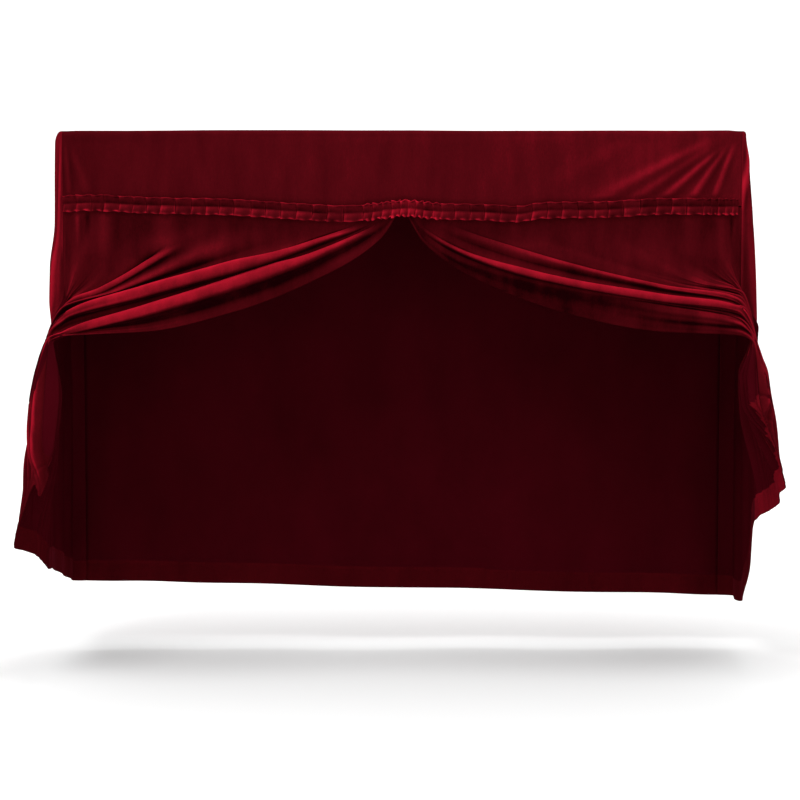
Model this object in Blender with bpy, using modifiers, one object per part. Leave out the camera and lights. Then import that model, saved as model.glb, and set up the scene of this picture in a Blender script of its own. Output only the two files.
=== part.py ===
"""Velvet cover for an upright piano, as it hangs with its front curtains drawn back.

Origin: centre of the underside of the top panel.  +Z is up and the front looks along -Y.
Units are metres.
"""
import math
from collections import namedtuple

import bmesh
import bpy
import numpy as np

COLLECTION = "piano_cover"

# Driving dimensions
CLOTH = 0.002            # velvet with its pile
SEAM_GAP = 0.0008        # between two panels that are sewn edge to edge
HEADING_GAP = 0.0030     # between valance and curtains, behind the band
LOOSE_GAP = 0.0036       # between curtain and end panel where their seam folds
HALF_WIDTH = 0.7525      # middle of the cloth, at the ends
HALF_DEPTH = 0.185       # middle of the cloth, at the front and the back
CORNER_ROUND = 0.012     # upright corners
EDGE_ROUND = 0.006       # fold along the top edges
TOP_TURN = 0.009         # how far the walls reach in over the top
HEM_BACK = (-1.052, -1.086)   # hem along the back, at its left and right ends
ARM_TOP = -0.430         # level at which the curtains cross the arms
RUFFLE_HALF = 0.0178     # half the height of the pleated band
RUFFLE_CLEAR = 0.0044    # middle of the band in front of the front panels

VELVET = (0.115, 0.002, 0.008, 1.0)

# Height of the seam between valance and curtains, along the front
SeamRow = namedtuple("SeamRow", "x z")
SEAM = (
    SeamRow(-0.743, -0.157),
    SeamRow(-0.690, -0.154),
    SeamRow(-0.550, -0.160),
    SeamRow(-0.400, -0.163),
    SeamRow(-0.250, -0.172),
    SeamRow(-0.125, -0.178),
    SeamRow(-0.040, -0.171),
    SeamRow(0.005, -0.166),
    SeamRow(0.085, -0.173),
    SeamRow(0.180, -0.175),
    SeamRow(0.250, -0.179),
    SeamRow(0.310, -0.171),
    SeamRow(0.440, -0.169),
    SeamRow(0.580, -0.162),
    SeamRow(0.743, -0.163),
)

# How far the end panels stand out from the case, down their height
FlareRow = namedtuple("FlareRow", "z left right")
FLARE = (
    FlareRow(0.000, 0.000, 0.000),
    FlareRow(-0.020, 0.007, 0.001),
    FlareRow(-0.090, 0.008, 0.0125),
    FlareRow(-0.200, 0.0095, 0.022),
    FlareRow(-0.300, 0.0215, 0.026),
    FlareRow(-0.360, 0.0225, 0.028),
    FlareRow(-0.415, 0.018, 0.029),
    FlareRow(-0.460, 0.021, 0.027),
    FlareRow(-0.620, 0.020, 0.025),
    FlareRow(-0.850, 0.024, 0.026),
    FlareRow(-1.090, 0.028, 0.029),
)

# Folds of a curtain, from its outer edge to its free edge.  Lengths along x are from the
# middle of the cover, and "out" is forward of the front panels.
FoldRow = namedtuple(
    "FoldRow",
    "across seam_x sag late_sag stand tuck_out tuck_z fall_x fall_y hem_x hem_y hem_z",
)
LEFT_FOLDS = (
    FoldRow(0.00, 0.742, 0.000, 0.000, 0.000, 0.002, -0.400, 0.769, -0.211, 0.780, -0.214, -0.962),
    FoldRow(0.07, 0.722, 0.003, 0.000, 0.001, 0.006, -0.384, 0.772, -0.222, 0.788, -0.238, -0.944),
    FoldRow(0.16, 0.665, 0.012, 0.000, 0.007, 0.019, -0.374, 0.789, -0.236, 0.803, -0.262, -0.922),
    FoldRow(0.26, 0.560, 0.014, 0.000, 0.003, 0.018, -0.378, 0.781, -0.256, 0.823, -0.288, -0.909),
    FoldRow(0.36, 0.430, 0.021, 0.004, 0.016, 0.034, -0.381, 0.796, -0.276, 0.840, -0.322, -0.896),
    FoldRow(0.43, 0.350, 0.012, 0.009, 0.008, 0.030, -0.382, 0.776, -0.292, 0.833, -0.332, -0.862),
    FoldRow(0.50, 0.270, 0.013, 0.009, 0.014, 0.045, -0.383, 0.792, -0.302, 0.822, -0.344, -0.832),
    FoldRow(0.57, 0.150, 0.015, -0.010, 0.006, 0.040, -0.399, 0.772, -0.316, 0.812, -0.352, -0.806),
    FoldRow(0.66, 0.045, 0.019, -0.012, 0.026, 0.058, -0.397, 0.792, -0.330, 0.806, -0.366, -0.792),
    FoldRow(0.74, 0.026, 0.028, -0.008, 0.010, 0.052, -0.416, 0.768, -0.344, 0.787, -0.376, -0.752),
    FoldRow(0.83, 0.012, 0.029, -0.004, 0.033, 0.075, -0.433, 0.786, -0.360, 0.774, -0.390, -0.776),
    FoldRow(0.92, 0.007, 0.053, 0.009, 0.012, 0.072, -0.438, 0.763, -0.372, 0.760, -0.398, -0.748),
    FoldRow(1.00, 0.003, 0.083, 0.015, 0.006, 0.084, -0.441, 0.769, -0.384, 0.752, -0.408, -0.728),
)
RIGHT_FOLDS = (
    FoldRow(0.00, 0.742, 0.000, 0.000, 0.000, 0.002, -0.380, 0.766, -0.211, 0.779, -0.214, -0.852),
    FoldRow(0.08, 0.718, 0.004, 0.000, 0.001, 0.006, -0.360, 0.768, -0.224, 0.784, -0.240, -0.839),
    FoldRow(0.18, 0.650, 0.014, 0.000, 0.004, 0.019, -0.345, 0.777, -0.240, 0.804, -0.268, -0.822),
    FoldRow(0.29, 0.520, 0.026, 0.000, 0.003, 0.018, -0.350, 0.775, -0.262, 0.820, -0.302, -0.798),
    FoldRow(0.35, 0.443, 0.027, 0.006, 0.004, 0.028, -0.350, 0.778, -0.272, 0.816, -0.317, -0.780),
    FoldRow(0.39, 0.390, 0.027, 0.011, 0.005, 0.035, -0.349, 0.781, -0.280, 0.828, -0.326, -0.765),
    FoldRow(0.47, 0.250, 0.027, 0.001, 0.004, 0.032, -0.356, 0.768, -0.294, 0.821, -0.334, -0.742),
    FoldRow(0.57, 0.066, 0.028, -0.002, 0.006, 0.050, -0.367, 0.779, -0.310, 0.815, -0.346, -0.716),
    FoldRow(0.65, 0.036, 0.045, -0.003, 0.008, 0.044, -0.374, 0.764, -0.322, 0.806, -0.352, -0.690),
    FoldRow(0.74, 0.014, 0.062, -0.007, 0.026, 0.066, -0.382, 0.776, -0.336, 0.796, -0.366, -0.664),
    FoldRow(0.82, 0.010, 0.075, -0.015, 0.018, 0.060, -0.394, 0.762, -0.348, 0.786, -0.374, -0.640),
    FoldRow(0.90, 0.007, 0.087, -0.025, 0.016, 0.070, -0.410, 0.771, -0.360, 0.777, -0.386, -0.617),
    FoldRow(1.00, 0.003, 0.097, 0.006, 0.002, 0.070, -0.442, 0.763, -0.372, 0.768, -0.396, -0.600),
)
FALL_Z = (-0.640, -0.560)    # level of the middle of each drop, left and right
TUCK_X = 0.741               # where the curtains leave the front
OVER_X = 0.762               # where they pass over the arm's outer edge
OVER_Y = (-0.2115, -0.288)   # there, from the outer edge to the free edge
OVER_Z = -0.458
OVER_SHARE = 0.36            # depth of the folds there, as a share of the drop's

TUCK_PLACE = 0.5             # of the tuck at the arm, down a curtain
THREAD_PLACES = (0.0, 0.03, 0.125, 0.25, 0.375, TUCK_PLACE, 0.58, 0.78, 1.0)   # of a thread's knots
SAG_PEAK = 2.598             # makes the deepest sag of a thread its row's figure
LATE_PEAK = 6.75             # and the same for the sag nearer the arm
FLAT_BELOW = 0.038           # the curtains lie flat this far below their seam
RUFFLE_FADE = 0.080          # and their folds grow over this height
CORNER_START = math.radians(12)   # where the end panels stop on the upright corners
LOOSE_FROM = -0.355          # height at which the end panels leave the front corner
FLAT_AGAIN = -0.52           # below this the end panels and curtains lie in one plane
LOOSE_Y = (-0.207, -0.192)   # where their first columns hang below the arms
HEM_FROM = -0.30             # height from which the rows slope to the hem
HEM_CURVE = (1, 3.3)         # how soon the hems of the end panels near the back's, left and right
CORNER_CUT = 0.0012

# Facets
ACROSS_PARTS = 3
DOWN_PARTS = 2
SIDE_RUN = 6
VALANCE_ACROSS = 20
VALANCE_DOWN = 3
BACK_ACROSS = 16
BACK_DOWN = 8
TOP_ACROSS = 8
TOP_DOWN = 3

# Pleats of the band: from, to, number of pleats, how far they stand out
PleatRow = namedtuple("PleatRow", "start end pleats stand")
PLEATS = (
    PleatRow(-0.742, -0.620, 4, 0.0030),
    PleatRow(-0.620, -0.085, 16, 0.0040),
    PleatRow(-0.085, 0.085, 9, 0.0060),
    PleatRow(0.085, 0.660, 17, 0.0040),
    PleatRow(0.660, 0.736, 2, 0.0025),
)

# Soft folds of the plain walls: place along the wall (0 to 1), width, depth at the hem
WaveRow = namedtuple("WaveRow", "place width depth")
SIDE_WAVES = (
    WaveRow(0.20, 0.10, 0.003),
    WaveRow(0.42, 0.12, -0.002),
    WaveRow(0.62, 0.12, 0.003),
    WaveRow(0.82, 0.10, -0.004),
)
BACK_WAVES = (
    WaveRow(0.10, 0.06, 0.012),
    WaveRow(0.24, 0.07, -0.006),
    WaveRow(0.40, 0.08, 0.014),
    WaveRow(0.58, 0.07, -0.006),
    WaveRow(0.72, 0.08, 0.012),
    WaveRow(0.90, 0.06, 0.014),
)


def smooth(at, values, t):
    """Cubic curve through values given at places, which never overshoots them, read at t."""
    at = np.asarray(at, dtype=float)
    values = np.asarray(values, dtype=float)
    t = np.atleast_1d(np.asarray(t, dtype=float))
    tail = (1,) * (values.ndim - 1)
    step = np.diff(at)
    wide = step.reshape((-1,) + tail)
    slope = np.diff(values, axis=0) / wide
    before, after = slope[:-1], slope[1:]
    turns = before * after <= 0
    heavy, light = wide[:-1] + 2 * wide[1:], 2 * wide[:-1] + wide[1:]
    weighted = heavy * np.where(turns, 1.0, after) + light * np.where(turns, 1.0, before)
    tangent = np.zeros_like(values)
    tangent[0] = slope[0]
    tangent[-1] = slope[-1]
    tangent[1:-1] = np.where(turns, 0.0, (heavy + light) * before * after / weighted)
    i = np.clip(np.searchsorted(at, t, side="right") - 1, 0, len(step) - 1)
    h = step[i].reshape((-1,) + tail)
    s = ((t - at[i]) / step[i]).reshape((-1,) + tail)
    return (
        (1 + 2 * s) * (1 - s) ** 2 * values[i]
        + s * (1 - s) ** 2 * h * tangent[i]
        + s * s * (3 - 2 * s) * values[i + 1]
        + s * s * (s - 1) * h * tangent[i + 1]
    )


def read(table, key, field, t):
    """One named column of a table, read smoothly at t."""
    places = [getattr(row, key) for row in table]
    values = [getattr(row, field) for row in table]
    return smooth(places, values, t)


def ease(t):
    t = np.clip(t, 0.0, 1.0)
    return t * t * (3 - 2 * t)


def seam_height(x):
    return read(SEAM, "x", "z", x)


def flare(z, side):
    """Outward stand of an end panel at height z; side is -1 at the left, 1 at the right."""
    table = sorted(FLARE, key=lambda row: row.z)
    return read(table, "z", "left" if side < 0 else "right", z)


def waves(table, place):
    """Sum of soft ridges and troughs along a wall."""
    total = 0.0
    for row in table:
        total += row.depth * math.exp(-((place - row.place) / row.width) ** 2)
    return total


def velvet_material(name, tint):
    material = bpy.data.materials.new(name)
    material.use_nodes = True
    shader = material.node_tree.nodes["Principled BSDF"]
    colour = [channel * tint for channel in VELVET[:3]] + [1.0]
    shader.inputs["Base Color"].default_value = colour
    shader.inputs["Roughness"].default_value = 0.85
    shader.inputs["Metallic"].default_value = 0.0
    material.diffuse_color = colour
    return material


def sheet(name, points, tint, collection):
    """A thin cloth from a grid of points [across][down][xyz], outer side to the front."""
    across = len(points)
    down = len(points[0])
    mesh = bpy.data.meshes.new(name)
    cloth = bmesh.new()
    bmesh.ops.create_grid(cloth, x_segments=across - 1, y_segments=down - 1, size=0.5)
    for vert in cloth.verts:
        i = round((vert.co.x + 0.5) * (across - 1))
        j = round((0.5 - vert.co.y) * (down - 1))
        vert.co = points[i][j]
    cloth.to_mesh(mesh)
    cloth.free()
    piece = bpy.data.objects.new(name, mesh)
    collection.objects.link(piece)
    mesh.materials.append(velvet_material(name + "_velvet", tint))
    mesh.shade_smooth()
    shell = piece.modifiers.new("cloth", "SOLIDIFY")
    shell.thickness = CLOTH
    shell.offset = 0.0
    return piece


# Walls of the case.  A column is one upright line of an end panel: its place on the plan,
# the way out of the case there, and how much of the flare it takes.
Column = namedtuple("Column", "x y out_x out_y share")


def turn_rows():
    """Rows of the fold over a top edge: (reach in over the top, height)."""
    top = CLOTH / 2
    rows = [(TOP_TURN, top)]
    for angle in (0.0, math.radians(45), math.radians(90)):
        reach = EDGE_ROUND * (1 - math.sin(angle))
        rows.append((reach, top - EDGE_ROUND * (1 - math.cos(angle))))
    return rows


def corner_columns(front):
    """The columns of an upright corner, from the seam to the end face."""
    columns = []
    for angle in (CORNER_START, math.radians(50), math.radians(90)):
        out_x = math.sin(angle)
        out_y = math.cos(angle) * front
        x = HALF_WIDTH - CORNER_ROUND + CORNER_ROUND * out_x
        y = (HALF_DEPTH - CORNER_ROUND) * front + CORNER_ROUND * out_y
        columns.append(Column(x, y, out_x, out_y, out_x * out_x))
    return columns


def side_columns():
    """Columns of an end panel, from its front seam round to its back seam."""
    run = []
    for k in range(1, SIDE_RUN):
        y = (HALF_DEPTH - CORNER_ROUND) * (2 * k / SIDE_RUN - 1)
        run.append(Column(HALF_WIDTH, y, 1.0, 0.0, 1.0))
    return corner_columns(-1) + run + corner_columns(1)[::-1]


def along_end(column):
    """Place of a column along the end of the case, 0 at the front and 1 at the back."""
    return (column.y + HALF_DEPTH) / (2 * HALF_DEPTH)


def side_point(side, column, loose_y, reach, z):
    """Where a column of an end panel is at height z, or on the top at this reach."""
    stand = float(flare(z, side)[0])
    grown = ease(-z / 1.0)
    x = column.x - column.out_x * reach + column.share * stand
    y = column.y - column.out_y * reach
    x += column.share * grown * waves(SIDE_WAVES, along_end(column))
    free = float(ease((LOOSE_FROM - z) / (LOOSE_FROM - ARM_TOP))) if loose_y is not None else 0.0
    if free > 0:
        x += free * (HALF_WIDTH + stand - x)
        y += free * (loose_y - y)
    return side * x, y, z


def front_edge(side, z, reach=0.0):
    """Front edge of an end panel."""
    return side_point(side, side_columns()[0], LOOSE_Y[0], reach, z)


def back_edge(side, z, reach=0.0):
    """Back edge of an end panel."""
    return side_point(side, side_columns()[-1], None, reach, z)


def thread_knots(side, folds, fall_z, u):
    """Points of the threads at places u across a curtain, from the seam to the hem."""
    across = [row.across for row in folds]
    fields = FoldRow._fields[1:]
    rows = smooth(across, [[getattr(row, f) for f in fields] for row in folds], u)
    fold = dict(zip(fields, rows.T))
    seam_z = seam_height(side * fold["seam_x"])
    knots = []
    for w in (place / TUCK_PLACE for place in THREAD_PLACES if place <= TUCK_PLACE):
        sag = fold["sag"] * math.sqrt(w) * (1 - w) * SAG_PEAK
        sag = sag + fold["late_sag"] * w * w * (1 - w) * LATE_PEAK
        x = fold["seam_x"] + (TUCK_X - fold["seam_x"]) * w
        y = -HALF_DEPTH - fold["stand"] * math.sin(math.pi * w) ** 0.7 - fold["tuck_out"] * w * w
        z = seam_z + (fold["tuck_z"] - seam_z) * w - sag
        knots.append(np.stack([x, y, z], axis=1))
    ridge = OVER_SHARE * (fold["fall_x"] - OVER_X)
    over_y = OVER_Y[0] + (OVER_Y[1] - OVER_Y[0]) * np.asarray(u)
    knots.append(np.stack([OVER_X + ridge, over_y, OVER_Z + ridge], axis=1))
    knots.append(np.stack([fold["fall_x"], fold["fall_y"], 0 * over_y + fall_z], axis=1))
    knots.append(np.stack([fold["hem_x"], fold["hem_y"], fold["hem_z"]], axis=1))
    knots = np.stack(knots)
    knots[:, :, 0] *= side
    return knots


def beside_front_edge(side, z):
    """The curtain's place just clear of the end panel's front edge."""
    x, y, z = front_edge(side, z)
    free = float(ease((LOOSE_FROM + 0.03 - z) / 0.03))
    folded = free * float(ease((z - FLAT_AGAIN) / 0.04))
    gap = SEAM_GAP + (LOOSE_GAP - SEAM_GAP) * folded
    return x - side * SEAM_GAP * (1 - free), y - gap * free


def split(places, parts):
    """The places, with each step between them cut into equal parts."""
    cuts = []
    for low, high in zip(places, places[1:]):
        cuts += [low + (high - low) * k / parts for k in range(parts)]
    return np.array(cuts + [places[-1]])


def curtain_points(side, folds, fall_z):
    """Grid of points of a curtain, [across][down], with a line on every ridge and trough."""
    u = split([row.across for row in folds], ACROSS_PARTS)
    down = split(THREAD_PLACES, DOWN_PARTS)
    knots = thread_knots(side, folds, fall_z, u)
    grid = smooth(THREAD_PLACES, knots, down)
    x, y, z = grid[..., 0], grid[..., 1], grid[..., 2]
    below = seam_height(x.ravel()).reshape(x.shape) - z
    clear = ease((below - FLAT_BELOW) / RUFFLE_FADE)
    upper = down[:, None] <= TUCK_PLACE
    y[...] = np.where(upper, -HALF_DEPTH + clear * (y + HALF_DEPTH), y)
    z[0] -= HEADING_GAP / 2
    for row in grid:
        row[0, :2] = beside_front_edge(side, float(row[0, 2]))
    return grid.transpose(1, 0, 2)


def build_curtain(name, side, folds, fall_z, tint, collection):
    points = curtain_points(side, folds, fall_z)
    if side > 0:
        points = points[::-1]
    return points, sheet(name, points, tint, collection)


def build_side(name, side, seam_line, hem_front, tint, collection):
    """An end panel whose rows meet those of the curtain beside it."""
    hem_back, hem_curve = (pair[0 if side < 0 else 1] for pair in (HEM_BACK, HEM_CURVE))
    columns = side_columns()
    top = CLOTH / 2 - EDGE_ROUND
    seam_z = seam_line[0]
    heights = [top + (seam_z - top) * k / 3 for k in (1, 2)] + list(seam_line)
    points = []
    for k, column in enumerate(columns):
        loose_y = LOOSE_Y[k] if k < len(LOOSE_Y) else None
        hem = hem_back + (hem_front - hem_back) * (1 - along_end(column)) ** hem_curve
        line = [side_point(side, column, loose_y, reach, z) for reach, z in turn_rows()]
        for z in heights:
            lower = ease((z - HEM_FROM) / (hem_front - HEM_FROM))
            line.append(side_point(side, column, loose_y, 0.0, z + (hem - hem_front) * lower))
        points.append(line)
    if side < 0:
        points = points[::-1]
    return sheet(name, points, tint, collection)


def build_valance(tint, collection):
    points = []
    for k in range(VALANCE_ACROSS + 1):
        share = 2 * k / VALANCE_ACROSS - 1
        side = -1 if share < 0 else 1
        line = []
        for reach, z in turn_rows():
            x = abs(share) * (abs(front_edge(side, z, reach)[0]) - SEAM_GAP)
            line.append((side * x, -HALF_DEPTH + reach, z))
        top = line[-1][2]
        for row in range(1, VALANCE_DOWN + 1):
            x = abs(share) * (abs(front_edge(side, -0.1)[0]) - SEAM_GAP)
            low = float(seam_height(side * x)[0]) + HEADING_GAP / 2
            line.append((side * x, -HALF_DEPTH, top + (low - top) * row / VALANCE_DOWN))
        points.append(line)
    return sheet("front_valance", points, tint, collection)


def build_back(tint, collection):
    points = []
    for k in range(BACK_ACROSS + 1):
        share = 1 - 2 * k / BACK_ACROSS
        side = -1 if share < 0 else 1
        place = k / BACK_ACROSS
        window = float(ease(place / 0.08) * ease((1 - place) / 0.08))
        rows = turn_rows()
        top = rows[-1][1]
        hem = (HEM_BACK[0] * (1 - share) + HEM_BACK[1] * (1 + share)) / 2
        rows += [(0.0, top + (hem - top) * row / BACK_DOWN) for row in range(1, BACK_DOWN + 1)]
        line = []
        for reach, z in rows:
            x = abs(share) * (abs(back_edge(side, z, reach)[0]) - SEAM_GAP)
            fold = window * waves(BACK_WAVES, place) * float(ease(-z / 0.9))
            line.append((side * x, HALF_DEPTH - reach + fold, z))
        points.append(line)
    return sheet("back_panel", points, tint, collection)


def build_top(tint, collection):
    half_x = HALF_WIDTH - TOP_TURN - SEAM_GAP
    half_y = HALF_DEPTH - TOP_TURN - SEAM_GAP
    points = []
    for k in range(TOP_ACROSS + 1):
        x = half_x * (2 * k / TOP_ACROSS - 1)
        line = []
        for row in range(TOP_DOWN + 1):
            y = half_y * (1 - 2 * row / TOP_DOWN)
            corner = k in (0, TOP_ACROSS) and row in (0, TOP_DOWN)
            pull = CORNER_CUT if corner else 0.0
            line.append((x - math.copysign(pull, x), y - math.copysign(pull, y), CLOTH / 2))
        points.append(line)
    return sheet("top_panel", points, tint, collection)


def build_ruffle(tint, collection):
    """Band of knife pleats, pressed flat along the row of stitches at its middle."""
    points = []
    for zone in PLEATS:
        pitch = (zone.end - zone.start) / zone.pleats
        for k in range(zone.pleats):
            for share, stand in ((0.0, 0.0), (0.78, zone.stand)):
                x = zone.start + pitch * (k + share)
                points.append(ruffle_line(x, stand))
    points.append(ruffle_line(PLEATS[-1].end, 0.0))
    return sheet("ruffle_band", points, tint, collection)


def ruffle_line(x, stand):
    middle = float(seam_height(x)[0])
    y = -HALF_DEPTH - RUFFLE_CLEAR
    return [
        (x, y - stand, middle + RUFFLE_HALF),
        (x, y - 0.3 * stand, middle),
        (x, y - stand, middle - RUFFLE_HALF),
    ]


def clear_scene():
    for old in list(bpy.data.objects):
        bpy.data.objects.remove(old, do_unlink=True)


def main():
    clear_scene()
    cover = bpy.data.collections.new(COLLECTION)
    bpy.context.scene.collection.children.link(cover)
    build_top(1.0, cover)
    build_valance(1.0, cover)
    build_ruffle(1.4, cover)
    for side, word, folds, fall_z in (
        (-1, "left", LEFT_FOLDS, FALL_Z[0]),
        (1, "right", RIGHT_FOLDS, FALL_Z[1]),
    ):
        points, _ = build_curtain("curtain_" + word, side, folds, fall_z, 1.2, cover)
        outer = points[0] if side < 0 else points[-1]
        build_side("side_" + word, side, outer[:, 2], folds[0].hem_z, 0.9, cover)
    build_back(0.8, cover)


if __name__ == "__main__":
    main()
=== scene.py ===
import math
from collections import namedtuple

import bmesh
import bpy
import numpy as np
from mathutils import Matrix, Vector


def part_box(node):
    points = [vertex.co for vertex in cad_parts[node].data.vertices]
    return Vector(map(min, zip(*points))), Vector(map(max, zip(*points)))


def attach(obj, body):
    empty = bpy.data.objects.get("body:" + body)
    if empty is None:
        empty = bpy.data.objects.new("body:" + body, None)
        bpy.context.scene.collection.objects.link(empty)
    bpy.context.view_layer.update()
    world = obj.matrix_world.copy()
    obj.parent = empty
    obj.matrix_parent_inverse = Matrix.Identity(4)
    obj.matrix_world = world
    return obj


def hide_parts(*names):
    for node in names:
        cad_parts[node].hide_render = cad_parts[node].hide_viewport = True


bl_info = {
    "name": "Velvet Piano Cover",
    "version": (1, 0, 0),
    "blender": (4, 5, 0),
    "location": "3D View > Sidebar > Piano Cover",
    "description": "A velvet cover for an upright piano, with its front curtains drawn back",
    "category": "Add Mesh",
}

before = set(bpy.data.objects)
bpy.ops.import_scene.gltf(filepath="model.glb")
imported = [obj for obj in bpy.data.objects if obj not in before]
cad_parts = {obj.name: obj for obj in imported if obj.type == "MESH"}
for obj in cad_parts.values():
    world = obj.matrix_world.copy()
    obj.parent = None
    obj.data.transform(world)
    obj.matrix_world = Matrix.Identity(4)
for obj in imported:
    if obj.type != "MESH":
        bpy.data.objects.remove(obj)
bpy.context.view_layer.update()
FULL_TURN = 2 * math.pi
QUARTER_TURN = math.pi / 2

# A stretch over which something comes or goes: where it starts and how long it is.  One whose
# name says END is placed by where it ends instead.
Ramp = namedtuple("Ramp", "place run")
# A place around which something shows, and how far from there most of it is gone
SpotRow = namedtuple("SpotRow", "place width")

# Sizes that the frame gives, in metres.  The origin is the middle of the underside of the
# top panel, +Z is up and the front looks along -Y.
SEAM_GAP = 0.0008            # between two panels in the frame, sewn edge to edge
SEAM_LAP = 0.0003            # how far each cloth reaches past its seam line
TOP_TURN = 0.009             # how far the walls reach in over the top
TOP_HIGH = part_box("top_panel")[1]
HALF_WIDTH = TOP_HIGH.x + TOP_TURN + SEAM_GAP
HALF_DEPTH = TOP_HIGH.y + TOP_TURN + SEAM_GAP
TOP_MIDDLE = TOP_HIGH.z / 2
FLOOR_Z = -1.205             # where the castors of the piano would stand

HEADING_GAP = 0.0030         # between valance and curtains, behind the band
LOOSE_GAP = 0.0036           # between curtain and end panel where their seam folds
CORNER_ROUND = 0.012         # upright corners
EDGE_ROUND = 0.006           # fold along the top edges
CORNER_START = math.radians(12)   # where the end panels stop on the upright corners
ARM_TOP = -0.430             # level at which the curtains cross the arms
LOOSE_FROM = -0.355          # height at which the end panels leave the front corner
LOOSE_RUN = 0.03             # height over which the seam there opens
FLAT_AGAIN = Ramp(-0.52, 0.04)    # below this the end panels and curtains lie in one plane
LOOSE_Y = (-0.207, -0.173)   # the loose part of an end panel there, from seam to end face
HEM_FROM = -0.30             # height from which an end panel's rows slope to the hem
RUFFLE_HALF = 0.0178         # half the height of the pleated band
RUFFLE_CLEAR = 0.0044        # middle of the band in front of the front panels
TUCK_X = 0.741               # where the curtains leave the front
OVER_X = 0.762               # where they pass over the arm's outer edge
OVER_Y = (-0.2115, -0.288)   # there, from the outer edge to the free edge
OVER_Z = -0.458
OVER_SHARE = 0.36            # depth of the folds there, as a share of the drop's
TUCK_PLACE = 0.5             # of the tuck at the arm, down a curtain
THREAD_PLACES = (0.0, 0.03, 0.125, 0.25, 0.375, TUCK_PLACE, 0.58, 0.78, 1.0)   # knots of a thread
SAG_PEAK = 2.598             # makes the deepest sag of a thread its row's figure
LATE_PEAK = 6.75             # and the same for the sag nearer the arm
STAND_SHAPE = 0.7            # how full a ridge stands near the ends of its thread

# Height of the seam between valance and curtains, along the front
SeamRow = namedtuple("SeamRow", "x z")
SEAM = (
    SeamRow(-0.743, -0.157),
    SeamRow(-0.690, -0.154),
    SeamRow(-0.550, -0.160),
    SeamRow(-0.400, -0.163),
    SeamRow(-0.250, -0.172),
    SeamRow(-0.125, -0.178),
    SeamRow(-0.040, -0.171),
    SeamRow(0.005, -0.166),
    SeamRow(0.085, -0.173),
    SeamRow(0.180, -0.175),
    SeamRow(0.250, -0.179),
    SeamRow(0.310, -0.171),
    SeamRow(0.440, -0.169),
    SeamRow(0.580, -0.162),
    SeamRow(0.743, -0.163),
)

# How far the end panels stand out from the case, up their height
FlareRow = namedtuple("FlareRow", "z left right")
FLARE = (
    FlareRow(-1.090, 0.028, 0.029),
    FlareRow(-0.850, 0.024, 0.026),
    FlareRow(-0.620, 0.020, 0.025),
    FlareRow(-0.460, 0.021, 0.027),
    FlareRow(-0.415, 0.018, 0.029),
    FlareRow(-0.360, 0.0225, 0.028),
    FlareRow(-0.300, 0.0215, 0.026),
    FlareRow(-0.200, 0.0095, 0.022),
    FlareRow(-0.090, 0.008, 0.0125),
    FlareRow(-0.020, 0.007, 0.001),
    FlareRow(0.000, 0.000, 0.000),
)

# Folds of a curtain, from its outer edge to its free edge, with their sizes in millimetres.
# "across" and "begin" are shares of the curtain's width and length.  "roll" is how much cloth is
# rolled over below a ridge, and "begin" is where down the curtain that starts.
FoldRow = namedtuple(
    "FoldRow",
    "across seam_x sag late_sag stand tuck_out tuck_z fall_x fall_y hem_x hem_y hem_z roll begin",
)


def in_metres(table):
    """The rows of a table of folds, with their sizes taken from millimetres to metres."""
    first, end = FoldRow._fields.index("seam_x"), FoldRow._fields.index("roll")
    return tuple(
        FoldRow(*row[:first], *(size / 1000 for size in row[first:end]), *row[end:])
        for row in table
    )


LEFT_FOLDS = in_metres((
    FoldRow(0.00, 742,  0,   0,  0,  2, -400, 769, -211, 780, -214, -962, 0.00, 0.00),
    FoldRow(0.07, 722,  3,   0,  1,  6, -384, 772, -222, 788, -238, -944, 0.00, 0.00),
    FoldRow(0.16, 665, 12,   0,  7, 19, -374, 789, -236, 803, -262, -922, 0.00, 0.00),
    FoldRow(0.26, 560, 14,   0,  3, 18, -378, 781, -256, 823, -288, -909, 0.00, 0.00),
    FoldRow(0.36, 430, 21,   4, 16, 34, -381, 796, -276, 840, -322, -896, 0.40, 0.13),
    FoldRow(0.43, 350, 12,   9,  8, 30, -382, 776, -292, 833, -332, -862, 0.00, 0.00),
    FoldRow(0.50, 270, 13,   9, 14, 45, -383, 792, -302, 822, -344, -832, 0.00, 0.00),
    FoldRow(0.57, 150, 15, -10,  6, 40, -399, 772, -316, 812, -352, -806, 0.00, 0.00),
    FoldRow(0.66,  45, 19, -12, 26, 58, -397, 792, -330, 806, -366, -792, 1.00, 0.01),
    FoldRow(0.74,  26, 28,  -8, 10, 52, -416, 768, -344, 787, -376, -752, 0.00, 0.00),
    FoldRow(0.83,  12, 29,  -4, 33, 75, -433, 786, -360, 774, -390, -776, 0.90, 0.01),
    FoldRow(0.92,   7, 53,   9, 12, 72, -438, 763, -372, 760, -398, -748, 0.00, 0.00),
    FoldRow(1.00,   3, 83,  15,  6, 84, -441, 769, -384, 752, -408, -728, 0.00, 0.00),
))
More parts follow.
